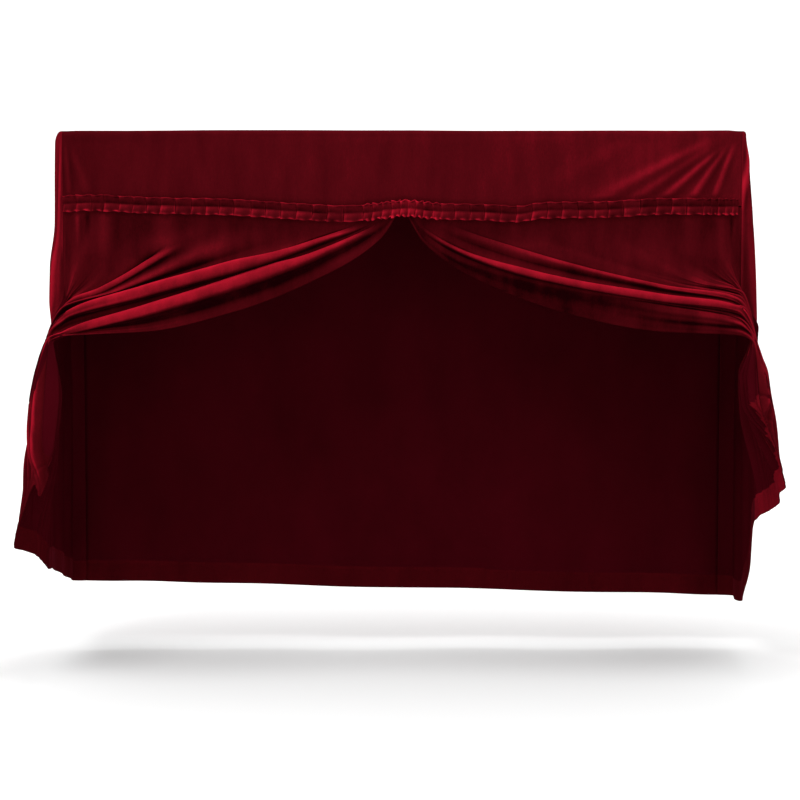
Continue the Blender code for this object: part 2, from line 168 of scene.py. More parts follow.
RIGHT_FOLDS = in_metres((
    FoldRow(0.00, 742,  0,   0,  0,  2, -380, 766, -211, 779, -214, -852, 0.00, 0.00),
    FoldRow(0.08, 718,  4,   0,  1,  6, -360, 768, -224, 784, -240, -839, 0.00, 0.00),
    FoldRow(0.18, 650, 14,   0,  4, 19, -345, 777, -240, 804, -268, -822, 0.00, 0.00),
    FoldRow(0.29, 520, 26,   0,  3, 18, -350, 775, -262, 820, -302, -798, 0.00, 0.00),
    FoldRow(0.35, 443, 27,   6,  4, 28, -350, 778, -272, 816, -317, -780, 0.00, 0.00),
    FoldRow(0.39, 390, 27,  11,  5, 35, -349, 781, -280, 828, -326, -765, 0.00, 0.00),
    FoldRow(0.47, 250, 27,   1,  4, 32, -356, 768, -294, 821, -334, -742, 0.00, 0.00),
    FoldRow(0.57,  66, 28,  -2,  6, 50, -367, 779, -310, 815, -346, -716, 0.27, 0.02),
    FoldRow(0.65,  36, 45,  -3,  8, 44, -374, 764, -322, 806, -352, -690, 0.00, 0.00),
    FoldRow(0.74,  14, 62,  -7, 26, 66, -382, 776, -336, 796, -366, -664, 0.55, 0.01),
    FoldRow(0.82,  10, 75, -15, 18, 60, -394, 762, -348, 786, -374, -640, 0.00, 0.00),
    FoldRow(0.90,   7, 87, -25, 16, 70, -410, 771, -360, 777, -386, -617, 0.18, 0.32),
    FoldRow(1.00,   3, 97,   6,  2, 70, -442, 763, -372, 768, -396, -600, 0.00, 0.00),
))

# Looks of the pile: lift of its tone and painted light, strength of its marks, sheen, and how
# much of the painted light and shade of its folds it keeps
PileRow = namedtuple("PileRow", "name lift marks sheen relief")
PANEL_PILE = PileRow("crimson pile", 0.0, 0.14, 0.06, 1.0)
CURTAIN_PILE = PileRow("crimson pile of the curtains", 0.0, 0.20, 0.06, 1.0)
BAND_PILE = PileRow("crimson pile of the band", 0.05, 0.07, 0.10, 1.0)
HEM_PILE = PileRow("crimson pile inside a hem", -0.06, 0.08, 0.05, 0.15)
# The right drop's turned hem is given a painted sheen: its lift makes it lighter.
SHEEN_PAINTED_HEM_PILE = PileRow("crimson pile inside a brushed hem", 0.24, 0.12, 0.06, 0.15)

# The two sides.  "fall_z" is the level of the middle of the drop, "hem_back" that of the back's
# hem, and "hem_curve" how soon the hem of the end panel nears it.  Then come how much lighter the
# end panel is painted, as painted light, and how strong the highlight painted along the close
# folds is; "under" is where across the curtain its last rolled fold ends and painted shade begins,
# "turned" the look of its turned hem, and "seed" that of the folds placed by chance.
Drop = namedtuple(
    "Drop", "side word folds fall_z hem_back hem_curve brushed brows under turned seed"
)
DROPS = (
    Drop(-1, "left", LEFT_FOLDS, -0.640, -1.052, 1, 0.24, 0.42, 0.88, HEM_PILE, 11),
    Drop(1, "right", RIGHT_FOLDS, -0.560, -1.086, 3.3, 0.24, 0.16, 0.80, SHEEN_PAINTED_HEM_PILE, 23),
)

# Soft folds of the curtains below the band: place, half width, height, length
HangRow = namedtuple("HangRow", "x width height length")
HANGING_FOLDS = (
    HangRow(-0.712, 0.0060, 0.0030, 0.110),
    HangRow(-0.690, 0.0070, -0.0022, 0.090),
    HangRow(-0.655, 0.0160, 0.0026, 0.190),
    HangRow(-0.520, 0.0260, 0.0016, 0.120),
    HangRow(0.640, 0.0200, 0.0014, 0.120),
    HangRow(0.700, 0.0100, 0.0020, 0.150),
    HangRow(0.722, 0.0050, -0.0022, 0.100),
)

# Pleats of the band: from, to, number of pleats, how far they stand out, how much their
# edges frill
PleatRow = namedtuple("PleatRow", "start end pleats stand frill")
PLEATS = (
    PleatRow(-0.742, -0.620, 4, 0.0040, 0.0022),
    PleatRow(-0.620, -0.085, 16, 0.0052, 0.0015),
    PleatRow(-0.085, 0.085, 9, 0.0070, 0.0036),
    PleatRow(0.085, 0.660, 17, 0.0052, 0.0017),
    PleatRow(0.660, 0.736, 5, 0.0034, 0.0020),
)

# Soft folds of the plain walls: place along the wall (0 to 1), width, depth at the hem
WaveRow = namedtuple("WaveRow", "place width depth")
SIDE_WAVES = (
    WaveRow(0.20, 0.10, 0.003),
    WaveRow(0.42, 0.12, -0.002),
    WaveRow(0.62, 0.12, 0.003),
    WaveRow(0.82, 0.10, -0.004),
)
BACK_WAVES = (
    WaveRow(0.10, 0.06, 0.012),
    WaveRow(0.24, 0.07, -0.006),
    WaveRow(0.40, 0.08, 0.014),
    WaveRow(0.58, 0.07, -0.006),
    WaveRow(0.72, 0.08, 0.012),
    WaveRow(0.90, 0.06, 0.014),
)

# Straight soft creases of a flat panel: from, to, half width, height.  "along" is x on the
# valance, and the distance from the front seam on an end panel.
CreaseRow = namedtuple("CreaseRow", "from_along from_z to_along to_z width height")
VALANCE_CREASES = (
    CreaseRow(0.700, -0.008, 0.452, -0.138, 0.0170, 0.0031),
    CreaseRow(0.700, -0.020, 0.520, -0.138, 0.0150, 0.0027),
    CreaseRow(0.705, -0.030, 0.581, -0.138, 0.0110, 0.0031),
    CreaseRow(0.712, -0.030, 0.640, -0.138, 0.0100, 0.0027),
    CreaseRow(0.728, -0.022, 0.685, -0.138, 0.0085, 0.0022),
    CreaseRow(0.520, -0.010, 0.330, -0.120, 0.0260, 0.0012),
    CreaseRow(-0.737, -0.012, -0.730, -0.130, 0.0045, 0.0012),
    CreaseRow(-0.726, -0.030, -0.690, -0.136, 0.0120, 0.0010),
)
LEFT_CREASES = (
    CreaseRow(0.003, -0.004, 0.009, -0.240, 0.0022, 0.0024),
    CreaseRow(0.010, -0.230, 0.016, -0.400, 0.0046, 0.0042),
    CreaseRow(0.002, -0.250, 0.003, -0.360, 0.0040, -0.0030),
    CreaseRow(0.030, -0.200, 0.040, -0.460, 0.0090, -0.0040),
    CreaseRow(0.060, -0.160, 0.075, -0.500, 0.0160, 0.0050),
    CreaseRow(0.120, -0.220, 0.105, -0.560, 0.0200, -0.0035),
)
RIGHT_CREASES = (
    CreaseRow(0.016, -0.010, 0.002, -0.138, 0.0046, 0.0066),
    CreaseRow(0.004, -0.230, 0.006, -0.430, 0.0042, -0.0036),
    CreaseRow(0.018, -0.180, 0.022, -0.460, 0.0060, 0.0030),
    CreaseRow(0.050, -0.120, 0.070, -0.480, 0.0150, 0.0050),
    CreaseRow(0.110, -0.200, 0.090, -0.540, 0.0200, -0.0040),
)

# Slow waviness of the panels: its depth as a share of the setting, how many waves lie along the
# second coordinate for one along the first, its seed, and its longest and shortest waves, in
# radians a metre
UnevenRow = namedtuple("UnevenRow", "depth stretch seed low high")
SIDE_UNEVEN = UnevenRow(1.5, 0.45, 41, 5.0, 32.0)
VALANCE_UNEVEN = UnevenRow(0.5, 0.6, 61, 4.0, 40.0)
BACK_UNEVEN = UnevenRow(1.6, 0.4, 71, 4.0, 26.0)
TOP_UNEVEN = UnevenRow(0.55, 1.0, 81, 4.0, 30.0)
SIDE_HEM_SEED = 51
BACK_HEM_SEED = 72
BAND_SEED = 91

# Looks of the camera, the lights and the floor, in metres and watts
CAMERA_PLACE = (-0.0047, -6.13, -0.0172)
CAMERA_PITCH = math.radians(90 - 5.49)
CAMERA_LENS = 121.8          # millimetres
CAMERA_SENSOR = 36.0         # millimetres
CAMERA_FAR = 100.0
SKY_STRENGTH = 0.80
FLOOR_FRONT = -9.0
FLOOR_BACK = 4.0
FLOOR_SIDE = 14.0
SWEEP_RADIUS = 2.5
SWEEP_TOP = 7.0
SWEEP_PARTS = 16
LightRow = namedtuple("LightRow", "name place aim size power")
LIGHTS = (
    LightRow("key_light", (-1.6, -2.8, 2.9), (0.0, 0.0, -0.3), 1.6, 55.0),
    LightRow("fill_light", (2.8, -4.2, 1.2), (0.0, 0.0, -0.4), 3.0, 14.0),
    LightRow("top_light", (0.0, -0.9, 2.8), (0.0, -0.2, 0.0), 1.8, 55.0),
    LightRow("back_light", (0.6, 3.2, 1.8), (0.0, 0.0, -0.4), 2.6, 22.0),
    LightRow("backdrop_light", (0.0, 2.6, 3.6), (0.0, 6.6, 0.0), 3.5, 160.0),
)


# ---------------------------------------------------------------------------
# Settings
# ---------------------------------------------------------------------------

class CoverSizes(bpy.types.PropertyGroup):
    """Sizes of the cover that a maker may change."""

    cloth: bpy.props.FloatProperty(
        name="Cloth", description="Thickness of the velvet with its pile",
        default=0.002, min=0.001, max=0.003, unit="LENGTH",
    )
    hem: bpy.props.FloatProperty(
        name="Hem", description="Depth of the turned and stitched hem",
        default=0.050, min=0.010, max=0.100, unit="LENGTH",
    )
    roll: bpy.props.FloatProperty(
        name="Roll", description="How far the main folds are rolled over below their ridges",
        default=0.0125, min=0.0, max=0.020, unit="LENGTH",
    )
    unevenness: bpy.props.FloatProperty(
        name="Unevenness", description="Depth of the slow waviness of hanging cloth",
        default=0.0022, min=0.0, max=0.005, unit="LENGTH",
    )
    crinkle: bpy.props.FloatProperty(
        name="Crinkle", description="Depth of the small folds where the curtains are tucked in",
        default=0.0016, min=0.0, max=0.004, unit="LENGTH",
    )
    fullness: bpy.props.FloatProperty(
        name="Fullness", description="Depth of the close folds that take up a drawn-back curtain",
        default=0.0285, min=0.0, max=0.035, unit="LENGTH",
    )


class CoverColours(bpy.types.PropertyGroup):
    """Colours of the cover and of the floor under it."""

    # The deep colour is the painted shade of the pile and the bright one its painted highlight;
    # face is flat cloth.
    deep: bpy.props.FloatVectorProperty(
        name="Deep", description="Pile lying away from the light, in the folds",
        default=(0.0090, 0.0002, 0.0008), size=3, min=0.0, max=1.0, subtype="COLOR",
    )
    face: bpy.props.FloatVectorProperty(
        name="Face", description="Flat cloth seen face on",
        default=(0.0680, 0.0022, 0.0044), size=3, min=0.0, max=1.0, subtype="COLOR",
    )
    # Painted highlight: the colour painted on ridges and where the cloth faces up.
    bright: bpy.props.FloatVectorProperty(
        name="Bright", description="Pile opened along the ridges of the folds",
        default=(0.430, 0.0075, 0.0220), size=3, min=0.0, max=1.0, subtype="COLOR",
    )
    backing: bpy.props.FloatVectorProperty(
        name="Backing", description="Knitted reverse of the velvet",
        default=(0.042, 0.0012, 0.0034), size=3, min=0.0, max=1.0, subtype="COLOR",
    )
    floor: bpy.props.FloatVectorProperty(
        name="Floor", description="Plain pale studio floor",
        default=(0.90, 0.90, 0.90), size=3, min=0.0, max=1.0, subtype="COLOR",
    )


# ---------------------------------------------------------------------------
# Curves and waves
# ---------------------------------------------------------------------------

RIPPLE_WAVES = 9             # how many waves make up an uneven surface
RIPPLE_FADE = 0.5            # how fast the shorter ones weaken
RIPPLE_GAIN = 1.8            # brings their sum to about -1 to 1
CREASE_START = Ramp(-0.02, 0.55)  # along a crease, in shares of its length
CREASE_END = Ramp(1.35, 0.5)
CREASE_THIN = 0.55           # its width at the start, as a share of its row's figure
CREASE_GROWTH = 0.45         # and how much more of it there is at its end
CREASE_WIDEST = 1.2          # where it stops widening


def smooth(at, values, t):
    """Cubic curve through values given at places, which never overshoots them, read at t."""
    at = np.asarray(at, dtype=float)
    values = np.asarray(values, dtype=float)
    t = np.asarray(t, dtype=float)
    tail = (1,) * (values.ndim - 1)
    step = np.diff(at)
    wide = step.reshape((-1,) + tail)
    slope = np.diff(values, axis=0) / wide
    before, after = slope[:-1], slope[1:]
    turns = before * after <= 0
    heavy, light = wide[:-1] + 2 * wide[1:], 2 * wide[:-1] + wide[1:]
    weighted = heavy * np.where(turns, 1.0, after) + light * np.where(turns, 1.0, before)
    tangent = np.zeros_like(values)
    tangent[0] = slope[0]
    tangent[-1] = slope[-1]
    tangent[1:-1] = np.where(turns, 0.0, (heavy + light) * before * after / weighted)
    i = np.clip(np.searchsorted(at, t, side="right") - 1, 0, len(step) - 1)
    h = step[i].reshape(t.shape + tail)
    s = ((t - at[i]) / step[i]).reshape(t.shape + tail)
    return (
        (1 + 2 * s) * (1 - s) ** 2 * values[i]
        + s * (1 - s) ** 2 * h * tangent[i]
        + s * s * (3 - 2 * s) * values[i + 1]
        + s * s * (s - 1) * h * tangent[i + 1]
    )


def read(table, key, field, t):
    """One named column of a table, read smoothly at t."""
    places = [getattr(row, key) for row in table]
    values = [getattr(row, field) for row in table]
    return smooth(places, values, t)


def ease(t):
    t = np.clip(t, 0.0, 1.0)
    return t * t * (3 - 2 * t)


def after(t, ramp):
    """0 before a ramp and 1 past it."""
    return ease((t - ramp.place) / ramp.run)


def until(t, ramp):
    """1 before a ramp that is placed by its end, and 0 past it."""
    return ease((ramp.place - t) / ramp.run)


def between(t, run):
    """0 at both ends of the way from 0 to 1, and 1 from a run inside them."""
    return ease(t / run) * ease((1 - t) / run)


def bell(t, width):
    return np.exp(-((t / width) ** 2))


def hump(t, row):
    """1 at a row's place, and less away from it."""
    return bell(t - row.place, row.width)


def seam_height(x):
    return read(SEAM, "x", "z", np.clip(x, SEAM[0].x, SEAM[-1].x))


def flare(z, side):
    """Outward stand of an end panel at height z; side is -1 at the left, 1 at the right."""
    return read(FLARE, "z", "left" if side < 0 else "right", np.clip(z, FLARE[0].z, 0.0))


def waves(table, place):
    """Soft ridges and troughs along a wall."""
    return sum(row.depth * hump(place, row) for row in table)


def ripple(a, b, seed, low=5.0, high=32.0):
    """Slow, uneven waviness, about -1 to 1, over two coordinates in metres."""
    chance = np.random.RandomState(seed)
    total = 0.0
    most = 0.0
    for k in range(RIPPLE_WAVES):
        pitch = low * (high / low) ** (k / (RIPPLE_WAVES - 1))
        turn = chance.uniform(0, math.pi)
        start = chance.uniform(0, FULL_TURN)
        share = 1.0 / (1.0 + RIPPLE_FADE * k)
        total = total + share * np.sin(pitch * (a * math.cos(turn) + b * math.sin(turn)) + start)
        most += share
    return RIPPLE_GAIN * total / most


def panel_ripple(row, a, b, turn=0):
    """Waviness of a panel, from its row, over two coordinates in metres."""
    return ripple(a, row.stretch * b, row.seed + turn, row.low, row.high)


def crease_height(table, x, z):
    """Height of straight soft creases over a flat cloth, which widen from their start."""
    total = 0.0 * x
    for row in table:
        run_x, run_z = row.to_along - row.from_along, row.to_z - row.from_z
        length = math.hypot(run_x, run_z)
        along = ((x - row.from_along) * run_x + (z - row.from_z) * run_z) / length ** 2
        off = ((x - row.from_along) * run_z - (z - row.from_z) * run_x) / length
        ends = after(along, CREASE_START) * until(along, CREASE_END)
        grown = CREASE_THIN + CREASE_GROWTH * np.clip(along, 0.0, CREASE_WIDEST)
        total = total + row.height * ends * bell(off, row.width * grown)
    return total


def closer(low, high, parts, ends=0.0):
    """Places from low to high, drawn closer together towards both ends."""
    t = np.linspace(0.0, 1.0, parts + 1)
    t = (1 - ends) * t + ends * ease(t)
    return low + (high - low) * t


# ---------------------------------------------------------------------------
# Cloth
# ---------------------------------------------------------------------------

# The colour of the pile is painted with light and shade: a value from 0 to 1, lighter on ridges
# and where the cloth faces up, darker in troughs and where it faces down.
PLAIN_TONE = 0.30             # value of flat cloth, before any painted light or shade
BROAD_REACH = 7              # columns on either side, over which broad folds are read
BROAD_PAINTED_LIGHT = 0.12             # the most that broad folds add as painted highlight on ridges, or take off as painted shade in troughs
BROAD_BEND = 0.0040          # and the height that comes near it
FINE_REACH = 2               # the same for fine folds
FINE_PAINTED_LIGHT = 0.13
FINE_BEND = 0.0008
UP_PAINTED_LIGHT = 0.80                # painted light from above: how much lighter cloth is where it faces up
CURTAIN_UP_PAINTED_LIGHT = 0.36        # the same on the curtains
DOWN_PAINTED_SHADE = 0.60              # painted shade: how much darker cloth is where it faces down

HEM_EXTRA = 0.0005           # thickness that a turned hem adds
HEM_EDGE = 0.006             # height over which it does
STITCH_DENT = 0.0008         # depth and half height of the dent along the stitches
STITCH_HALF = 0.0035
PUCKER_HEIGHT = 0.0003       # of the puckers, height and half height of their row
PUCKER_HALF = 0.013
PUCKER_PITCH = 0.0052        # length along the hem for a radian of their wave
PUCKER_DRIFT = 2.4           # radians by which that wanders

HALF_GRID = 0.5              # half of the square from which each cloth's mesh is made
OUTSIDE = 0                  # material slots of the outer faces, of a panel and of its hem
HEM_OUTSIDE = 2
INSIDE_STEP = 1              # from those to the slots of the inner faces


def normals(grid):
    """Outward normals of a grid of points [across][down][xyz]."""
    normal = np.cross(np.gradient(grid, axis=1), np.gradient(grid, axis=0))
    length = np.linalg.norm(normal, axis=2, keepdims=True)
    return normal / np.maximum(length, 1e-12)


def lengths(grid, axis):
    """Distance along the cloth from the first line of a grid, in metres."""
    step = np.linalg.norm(np.diff(grid, axis=axis), axis=2)
    total = np.zeros(grid.shape[:2])
    if axis == 0:
        total[1:] = np.cumsum(step, axis=0)
    else:
        total[:, 1:] = np.cumsum(step, axis=1)
    return total


def softened(values, rounds):
    """Values of a grid, averaged with their neighbours a few times."""
    for _ in range(rounds):
        padded = np.pad(values, ((1, 1), (1, 1)) + ((0, 0),) * (values.ndim - 2), mode="edge")
        values = (
            padded[1:-1, 1:-1] * 2
            + padded[:-2, 1:-1] + padded[2:, 1:-1] + padded[1:-1, :-2] + padded[1:-1, 2:]
        ) / 6
    return values


def bend(grid, reach):
    """How far each point stands out from the cloth on either side of it, across the grid."""
    last = grid.shape[0] - 1
    at = np.arange(last + 1)
    around = (grid[np.clip(at + reach, 0, last)] + grid[np.clip(at - reach, 0, last)]) / 2
    return np.sum((grid - around) * normals(grid), axis=2)


def painted_light_of(grid, plain=None, up_painted_light=UP_PAINTED_LIGHT):
    """Painted light and shade of the pile, from 0 in deep folds to 1 on ridges.

    Ridges and cloth facing up are painted lighter, as if lit from above, and troughs and cloth
    facing down darker, as painted shade.  A plain grid, without the folds, leaves out what the
    shape of the panel itself does.
    """
    broad, fine, up = bend(grid, BROAD_REACH), bend(grid, FINE_REACH), normals(grid)[..., 2]
    if plain is not None:
        broad = broad - bend(plain, BROAD_REACH)
        fine = fine - bend(plain, FINE_REACH)
        up = up - normals(plain)[..., 2]
    nap = PLAIN_TONE + BROAD_PAINTED_LIGHT * np.tanh(broad / BROAD_BEND)
    nap = nap + FINE_PAINTED_LIGHT * np.tanh(fine / FINE_BEND)
    return np.clip(nap + np.where(up > 0, up_painted_light, DOWN_PAINTED_SHADE) * up, 0.0, 1.0)


def with_hem(grid, hem, seed):
    """The grid with its last edge turned up and stitched, which dents and puckers it."""
    run = lengths(grid, 1)
    rise = run[:, -1:] - run
    along = lengths(grid, 0)[:, -1:]
    drift = PUCKER_DRIFT * ripple(along, 0.0 * along, seed)
    pucker = np.sin(along / PUCKER_PITCH + drift) * bell(rise - hem, PUCKER_HALF)
    thick = ease((hem - rise) / HEM_EDGE) * HEM_EXTRA
    height = thick - STITCH_DENT * bell(rise - hem, STITCH_HALF) + PUCKER_HEIGHT * pucker
    return grid + normals(grid) * height[..., None]


def set_values(mesh, name, values):
    values = np.asarray(values, dtype=np.float32).ravel()
    layer = mesh.attributes.new(name, "FLOAT", "POINT")
    layer.data.foreach_set("value", values)


def cloth_mesh(name, grid, nap, flat, hem):
    """A grid of points [across][down][xyz] as a mesh, with UVs in metres, tone and painted light.
    """
    across, down = grid.shape[:2]
    mesh = bpy.data.meshes.new(name)
    cloth = bmesh.new()
    cloth.loops.layers.uv.new("cut")
    bmesh.ops.create_grid(
        cloth, x_segments=across - 1, y_segments=down - 1, size=HALF_GRID, calc_uvs=True
    )
    cloth.to_mesh(mesh)
    cloth.free()
    place = np.zeros(len(mesh.vertices) * 3, dtype=np.float32)
    mesh.vertices.foreach_get("co", place)
    place = place.reshape(-1, 3)
    i = np.rint((place[:, 0] + HALF_GRID) * (across - 1)).astype(int)
    j = np.rint((HALF_GRID - place[:, 1]) * (down - 1)).astype(int)
    mesh.vertices.foreach_set("co", grid[i, j].astype(np.float32).ravel())
    set_values(mesh, "nap", nap[i, j])
    cut = np.zeros(len(mesh.loops) * 2, dtype=np.float32)
    mesh.uv_layers["cut"].data.foreach_get("uv", cut)
    cut = cut.reshape(-1, 2) * np.array(flat, dtype=np.float32)
    mesh.uv_layers["cut"].data.foreach_set("uv", cut.ravel())
    if hem > 0:
        run = lengths(grid, 1)
        turned = (run[:, -1:] - run)[i, j] < hem
        corners = np.zeros(len(mesh.loops), dtype=np.int32)
        mesh.loops.foreach_get("vertex_index", corners)
        in_hem = turned[corners].reshape(-1, 4).all(axis=1)
        slots = np.where(in_hem, HEM_OUTSIDE, OUTSIDE).astype(np.int32)
        mesh.polygons.foreach_set("material_index", slots)
    mesh.shade_smooth()
    mesh.update()
    return mesh


def cloth_piece(name, made, flat, materials, cloth, hem=0.0):
    """A panel of the cover as a sheet of velvet: pile outside, knitted backing inside."""
    grid, nap = made
    mesh = cloth_mesh(name + "_cloth", grid, nap, flat, hem)
    velvet, backing, turned = materials
    for material in (velvet, backing, velvet, turned):
        mesh.materials.append(material)
    piece = bpy.data.objects.new(name + "_cloth", mesh)
    bpy.context.scene.collection.objects.link(piece)
    shell = piece.modifiers.new("cloth", "SOLIDIFY")
    shell.thickness = cloth
    shell.offset = 0.0
    shell.material_offset = INSIDE_STEP
    shell.material_offset_rim = 0
    shell.use_even_offset = False
    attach(piece, "root")
    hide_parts(name)
    return piece


# ---------------------------------------------------------------------------
# Walls of the case
# ---------------------------------------------------------------------------

TURN_PARTS = 6               # rows of a fold over a top edge
CORNER_PARTS = 14            # columns round an upright corner
END_PARTS = 54               # and along an end of the case

# One upright line of an end panel: its place on the plan, the way out of the case there,
# how much of the flare it takes, and where it hangs loose, if it does
Column = namedtuple("Column", "x y out_x out_y share loose_y")


def turn_rows():
    """Rows of the fold over a top edge: (reach in over the top, height)."""
    rows = [(TOP_TURN, TOP_MIDDLE), ((TOP_TURN + EDGE_ROUND) / 2, TOP_MIDDLE)]
    for k in range(TURN_PARTS + 1):
        angle = QUARTER_TURN * k / TURN_PARTS
        reach = EDGE_ROUND * (1 - math.sin(angle))
        rows.append((reach, TOP_MIDDLE - EDGE_ROUND * (1 - math.cos(angle))))
    return rows


def corner_columns(front):
    """The columns of an upright corner, from the seam to the end face."""
    columns = []
    for k in range(CORNER_PARTS + 1):
        angle = CORNER_START + (QUARTER_TURN - CORNER_START) * k / CORNER_PARTS
        out_x = math.sin(angle)
        out_y = math.cos(angle) * front
        x = HALF_WIDTH - CORNER_ROUND + CORNER_ROUND * out_x
        y = (HALF_DEPTH - CORNER_ROUND) * front + CORNER_ROUND * out_y
        loose_y = LOOSE_Y[0] + (LOOSE_Y[1] - LOOSE_Y[0]) * k / CORNER_PARTS if front < 0 else None
        columns.append(Column(x, y, out_x, out_y, out_x * out_x, loose_y))
    return columns


def side_columns():
    """Columns of an end panel, from its front seam round to its back seam."""
    half = HALF_DEPTH - CORNER_ROUND
    face = [
        Column(HALF_WIDTH, half * (2 * k / END_PARTS - 1), 1.0, 0.0, 1.0, None)
        for k in range(1, END_PARTS)
    ]
    return corner_columns(-1) + face + corner_columns(1)[::-1]


def along_end(column):
    """Place of a column along the end of the case, 0 at the front and 1 at the back."""
    return (column.y + HALF_DEPTH) / (2 * HALF_DEPTH)


def side_line(side, column, reach, z):
    """Where a column of an end panel is at heights z, reaching in over the top by reach."""
    stand = flare(z, side)
    x = column.x - column.out_x * reach + column.share * stand
    y = column.y - column.out_y * reach
    x = x + column.share * ease(-z) * waves(SIDE_WAVES, along_end(column))
    if column.loose_y is not None:
        free = ease((LOOSE_FROM - z) / (LOOSE_FROM - ARM_TOP))
        x = x + free * (HALF_WIDTH + stand - x)
        y = y + free * (column.loose_y - y)
    return np.stack([side * x, y + 0 * x, z + 0 * x], axis=-1)


def front_edge(side, z, reach=0.0):
    """Front edge of an end panel at heights z."""
    return side_line(side, side_columns()[0], reach, np.asarray(z, dtype=float))


def back_edge(side, z, reach):
    """Back edge of an end panel at heights z."""
    return side_line(side, side_columns()[-1], reach, np.asarray(z, dtype=float))


def wall_x(share, z, reach, edge):
    """Places across a front or back wall, from its share of the half width (-1 to 1)."""
    left, right = (np.abs(edge(side, z, reach)[..., 0]) + SEAM_LAP for side in (-1, 1))
    return share * np.where(share < 0, left, right)


def wall_grid(share, z, edge, way, fold):
    """A front or back wall [across][down][xyz]: its turn over the top, then its cloth.

    The cloth hangs at heights z, and its folds stand out from the wall.  "way" is -1 for the
    front and 1 for the back.
    """
    turn = [
        np.stack([
            wall_x(share, np.array(height), reach, edge),
            0 * share + way * (HALF_DEPTH - reach),
            0 * share + height,
        ], axis=1)
        for reach, height in turn_rows()
    ]
    x = wall_x(share[:, None], z, 0.0, edge)
    wall = np.stack([x, way * (HALF_DEPTH + fold), z], axis=2)
    return np.concatenate([np.stack(turn, axis=1), wall], axis=1)


# ---------------------------------------------------------------------------
# Curtains
# ---------------------------------------------------------------------------

# Places down a curtain are shares of its length, 0 at the seam and 1 at the hem, and places
# across it are shares of its width, 0 at the outer edge and 1 at the free edge.
CURTAIN_COLUMNS = 229
CURTAIN_ROWS = ((0.0, 0.06, 12), (0.06, 0.945, 140), (0.945, 1.0, 30))   # from, to, rows
FALLING = Ramp(0.50, 0.10)   # past the arm the cloth stands out sideways
WAY_SOFTENED = 6             # rounds by which the way out of the cloth is smoothed above it
OUTER_EDGE = 0.035           # width over which the folds grow from the outer edge
FOLDS_BELOW = Ramp(0.038, 0.080)  # distance below the seam over which the main folds grow
ROLLS_BELOW = Ramp(0.022, 0.03)   # the same for the rolled folds
UNEVEN_BELOW = Ramp(0.02, 0.1)    # the same for the slow waviness, as a share of the length

ROLL_WIDTH = 0.042           # of the brow of a rolled fold
ROLL_START = 0.09            # length over which a roll begins
ROLL_GROOVE = 0.25           # depth of the groove above a brow, as a share of the brow
GROOVE_RUN = 0.30            # how far up the groove reaches, in widths of the brow
BROW_FADE = Ramp(1.0, 1.3)   # below the brow, in widths of it
TROUGH_FADE = Ramp(0.44, 0.08)    # the flat part above a roll goes before the arm
ROLL_FADE = Ramp(0.50, 0.09)      # and past it so does this share of the roll
ROLL_LOST = 0.80
ROLL_END = Ramp(1.0, 0.14)   # rolls run out at the hem
RIM = SpotRow(0.14, 0.15)    # the sharp line along which a highlight is painted, in widths of the brow
RIM_END = Ramp(0.80, 0.20)   # and the highlight painted along that line runs out before the hem

# Waves that run down the cloth: how many there are across a curtain, and how they lean
LeanRow = namedtuple("LeanRow", "pitch lean")
CLOSE_FOLDS = 17.0           # close folds across a curtain
CLOSE_DRIFTS = (LeanRow(1.7, 1.3), LeanRow(2.9, -2.1), LeanRow(4.3, 2.6))
CLOSE_DRIFT = 0.34           # folds by which each of these waves shifts them
CLOSE_UNEVEN = LeanRow(3.1, 2.2)  # some are deeper than others
CLOSE_MEAN = 0.74
CLOSE_SWING = 0.26
CLOSE_SINK = 0.30            # how far they lie in from the curtain's own surface
CLOSE_NEAR = 0.16            # share of their depth that starts at the arm
CLOSE_FAR = 0.84             # and that of the rest, below it
NEAR_START = Ramp(0.45, 0.06)
FAR_START = Ramp(0.56, 0.16)
CLOSE_LOST = 0.97            # share that is gone at the hem
CLOSE_FADE = Ramp(0.83, 0.15)
CLOSE_OUTER = 0.09           # width over which they grow from the outer edge
CLOSE_END = Ramp(1.0, 0.045)      # and fade at the free edge
BROW_LINE = Ramp(0.86, 0.14)      # part of a close fold's height that gets a painted highlight

CRINKLE_PITCHES = (13, 19, 27, 36, 47)   # small folds across a curtain
CRINKLE_LEAN = 3             # the most that they lean
CRINKLE_SLANT = 4            # radians by which a lean of 1 turns them over the length
CRINKLE_SHARE = 20.0         # a fold's share is this over its pitch and CRINKLE_SOFT
CRINKLE_SOFT = 8
CRINKLE_SUM = 2.2            # brings their sum to about -1 to 1
TUCK_CRINKLES = SpotRow(0.52, 0.13)   # where they are deepest
DROP_CRINKLES = 0.28         # their depth along the drop, as a share of that
DROP_START = Ramp(0.5, 0.2)  # where these begin and run out
DROP_END = Ramp(1.02, 0.3)

HANG_START = Ramp(0.012, 0.030)   # distance below the seam over which a soft fold grows
HANG_FADE = 0.6              # share of its length over which it fades

CURTAIN_SHADE = 0.055        # painted shade: how much darker the curtains are painted all over
UNDER_SHADE = 0.09           # painted shade: how much darker again past the last rolled fold, under the folds above
UNDER_RUN = 0.05             # width over which that begins
UNDER_FADE = Ramp(0.42, 0.08)
FREE_EDGE = 1.8              # shares of that shade by which the free edge is lighter again
FREE_EDGE_START = Ramp(0.93, 0.04)
RIM_PAINTED_HIGHLIGHT = 0.30               # painted highlight: how much lighter the pile is along the line of a rolled fold
DROP_CALM = 0.25             # share by which the painted light and shade of the folds is weaker on the drops
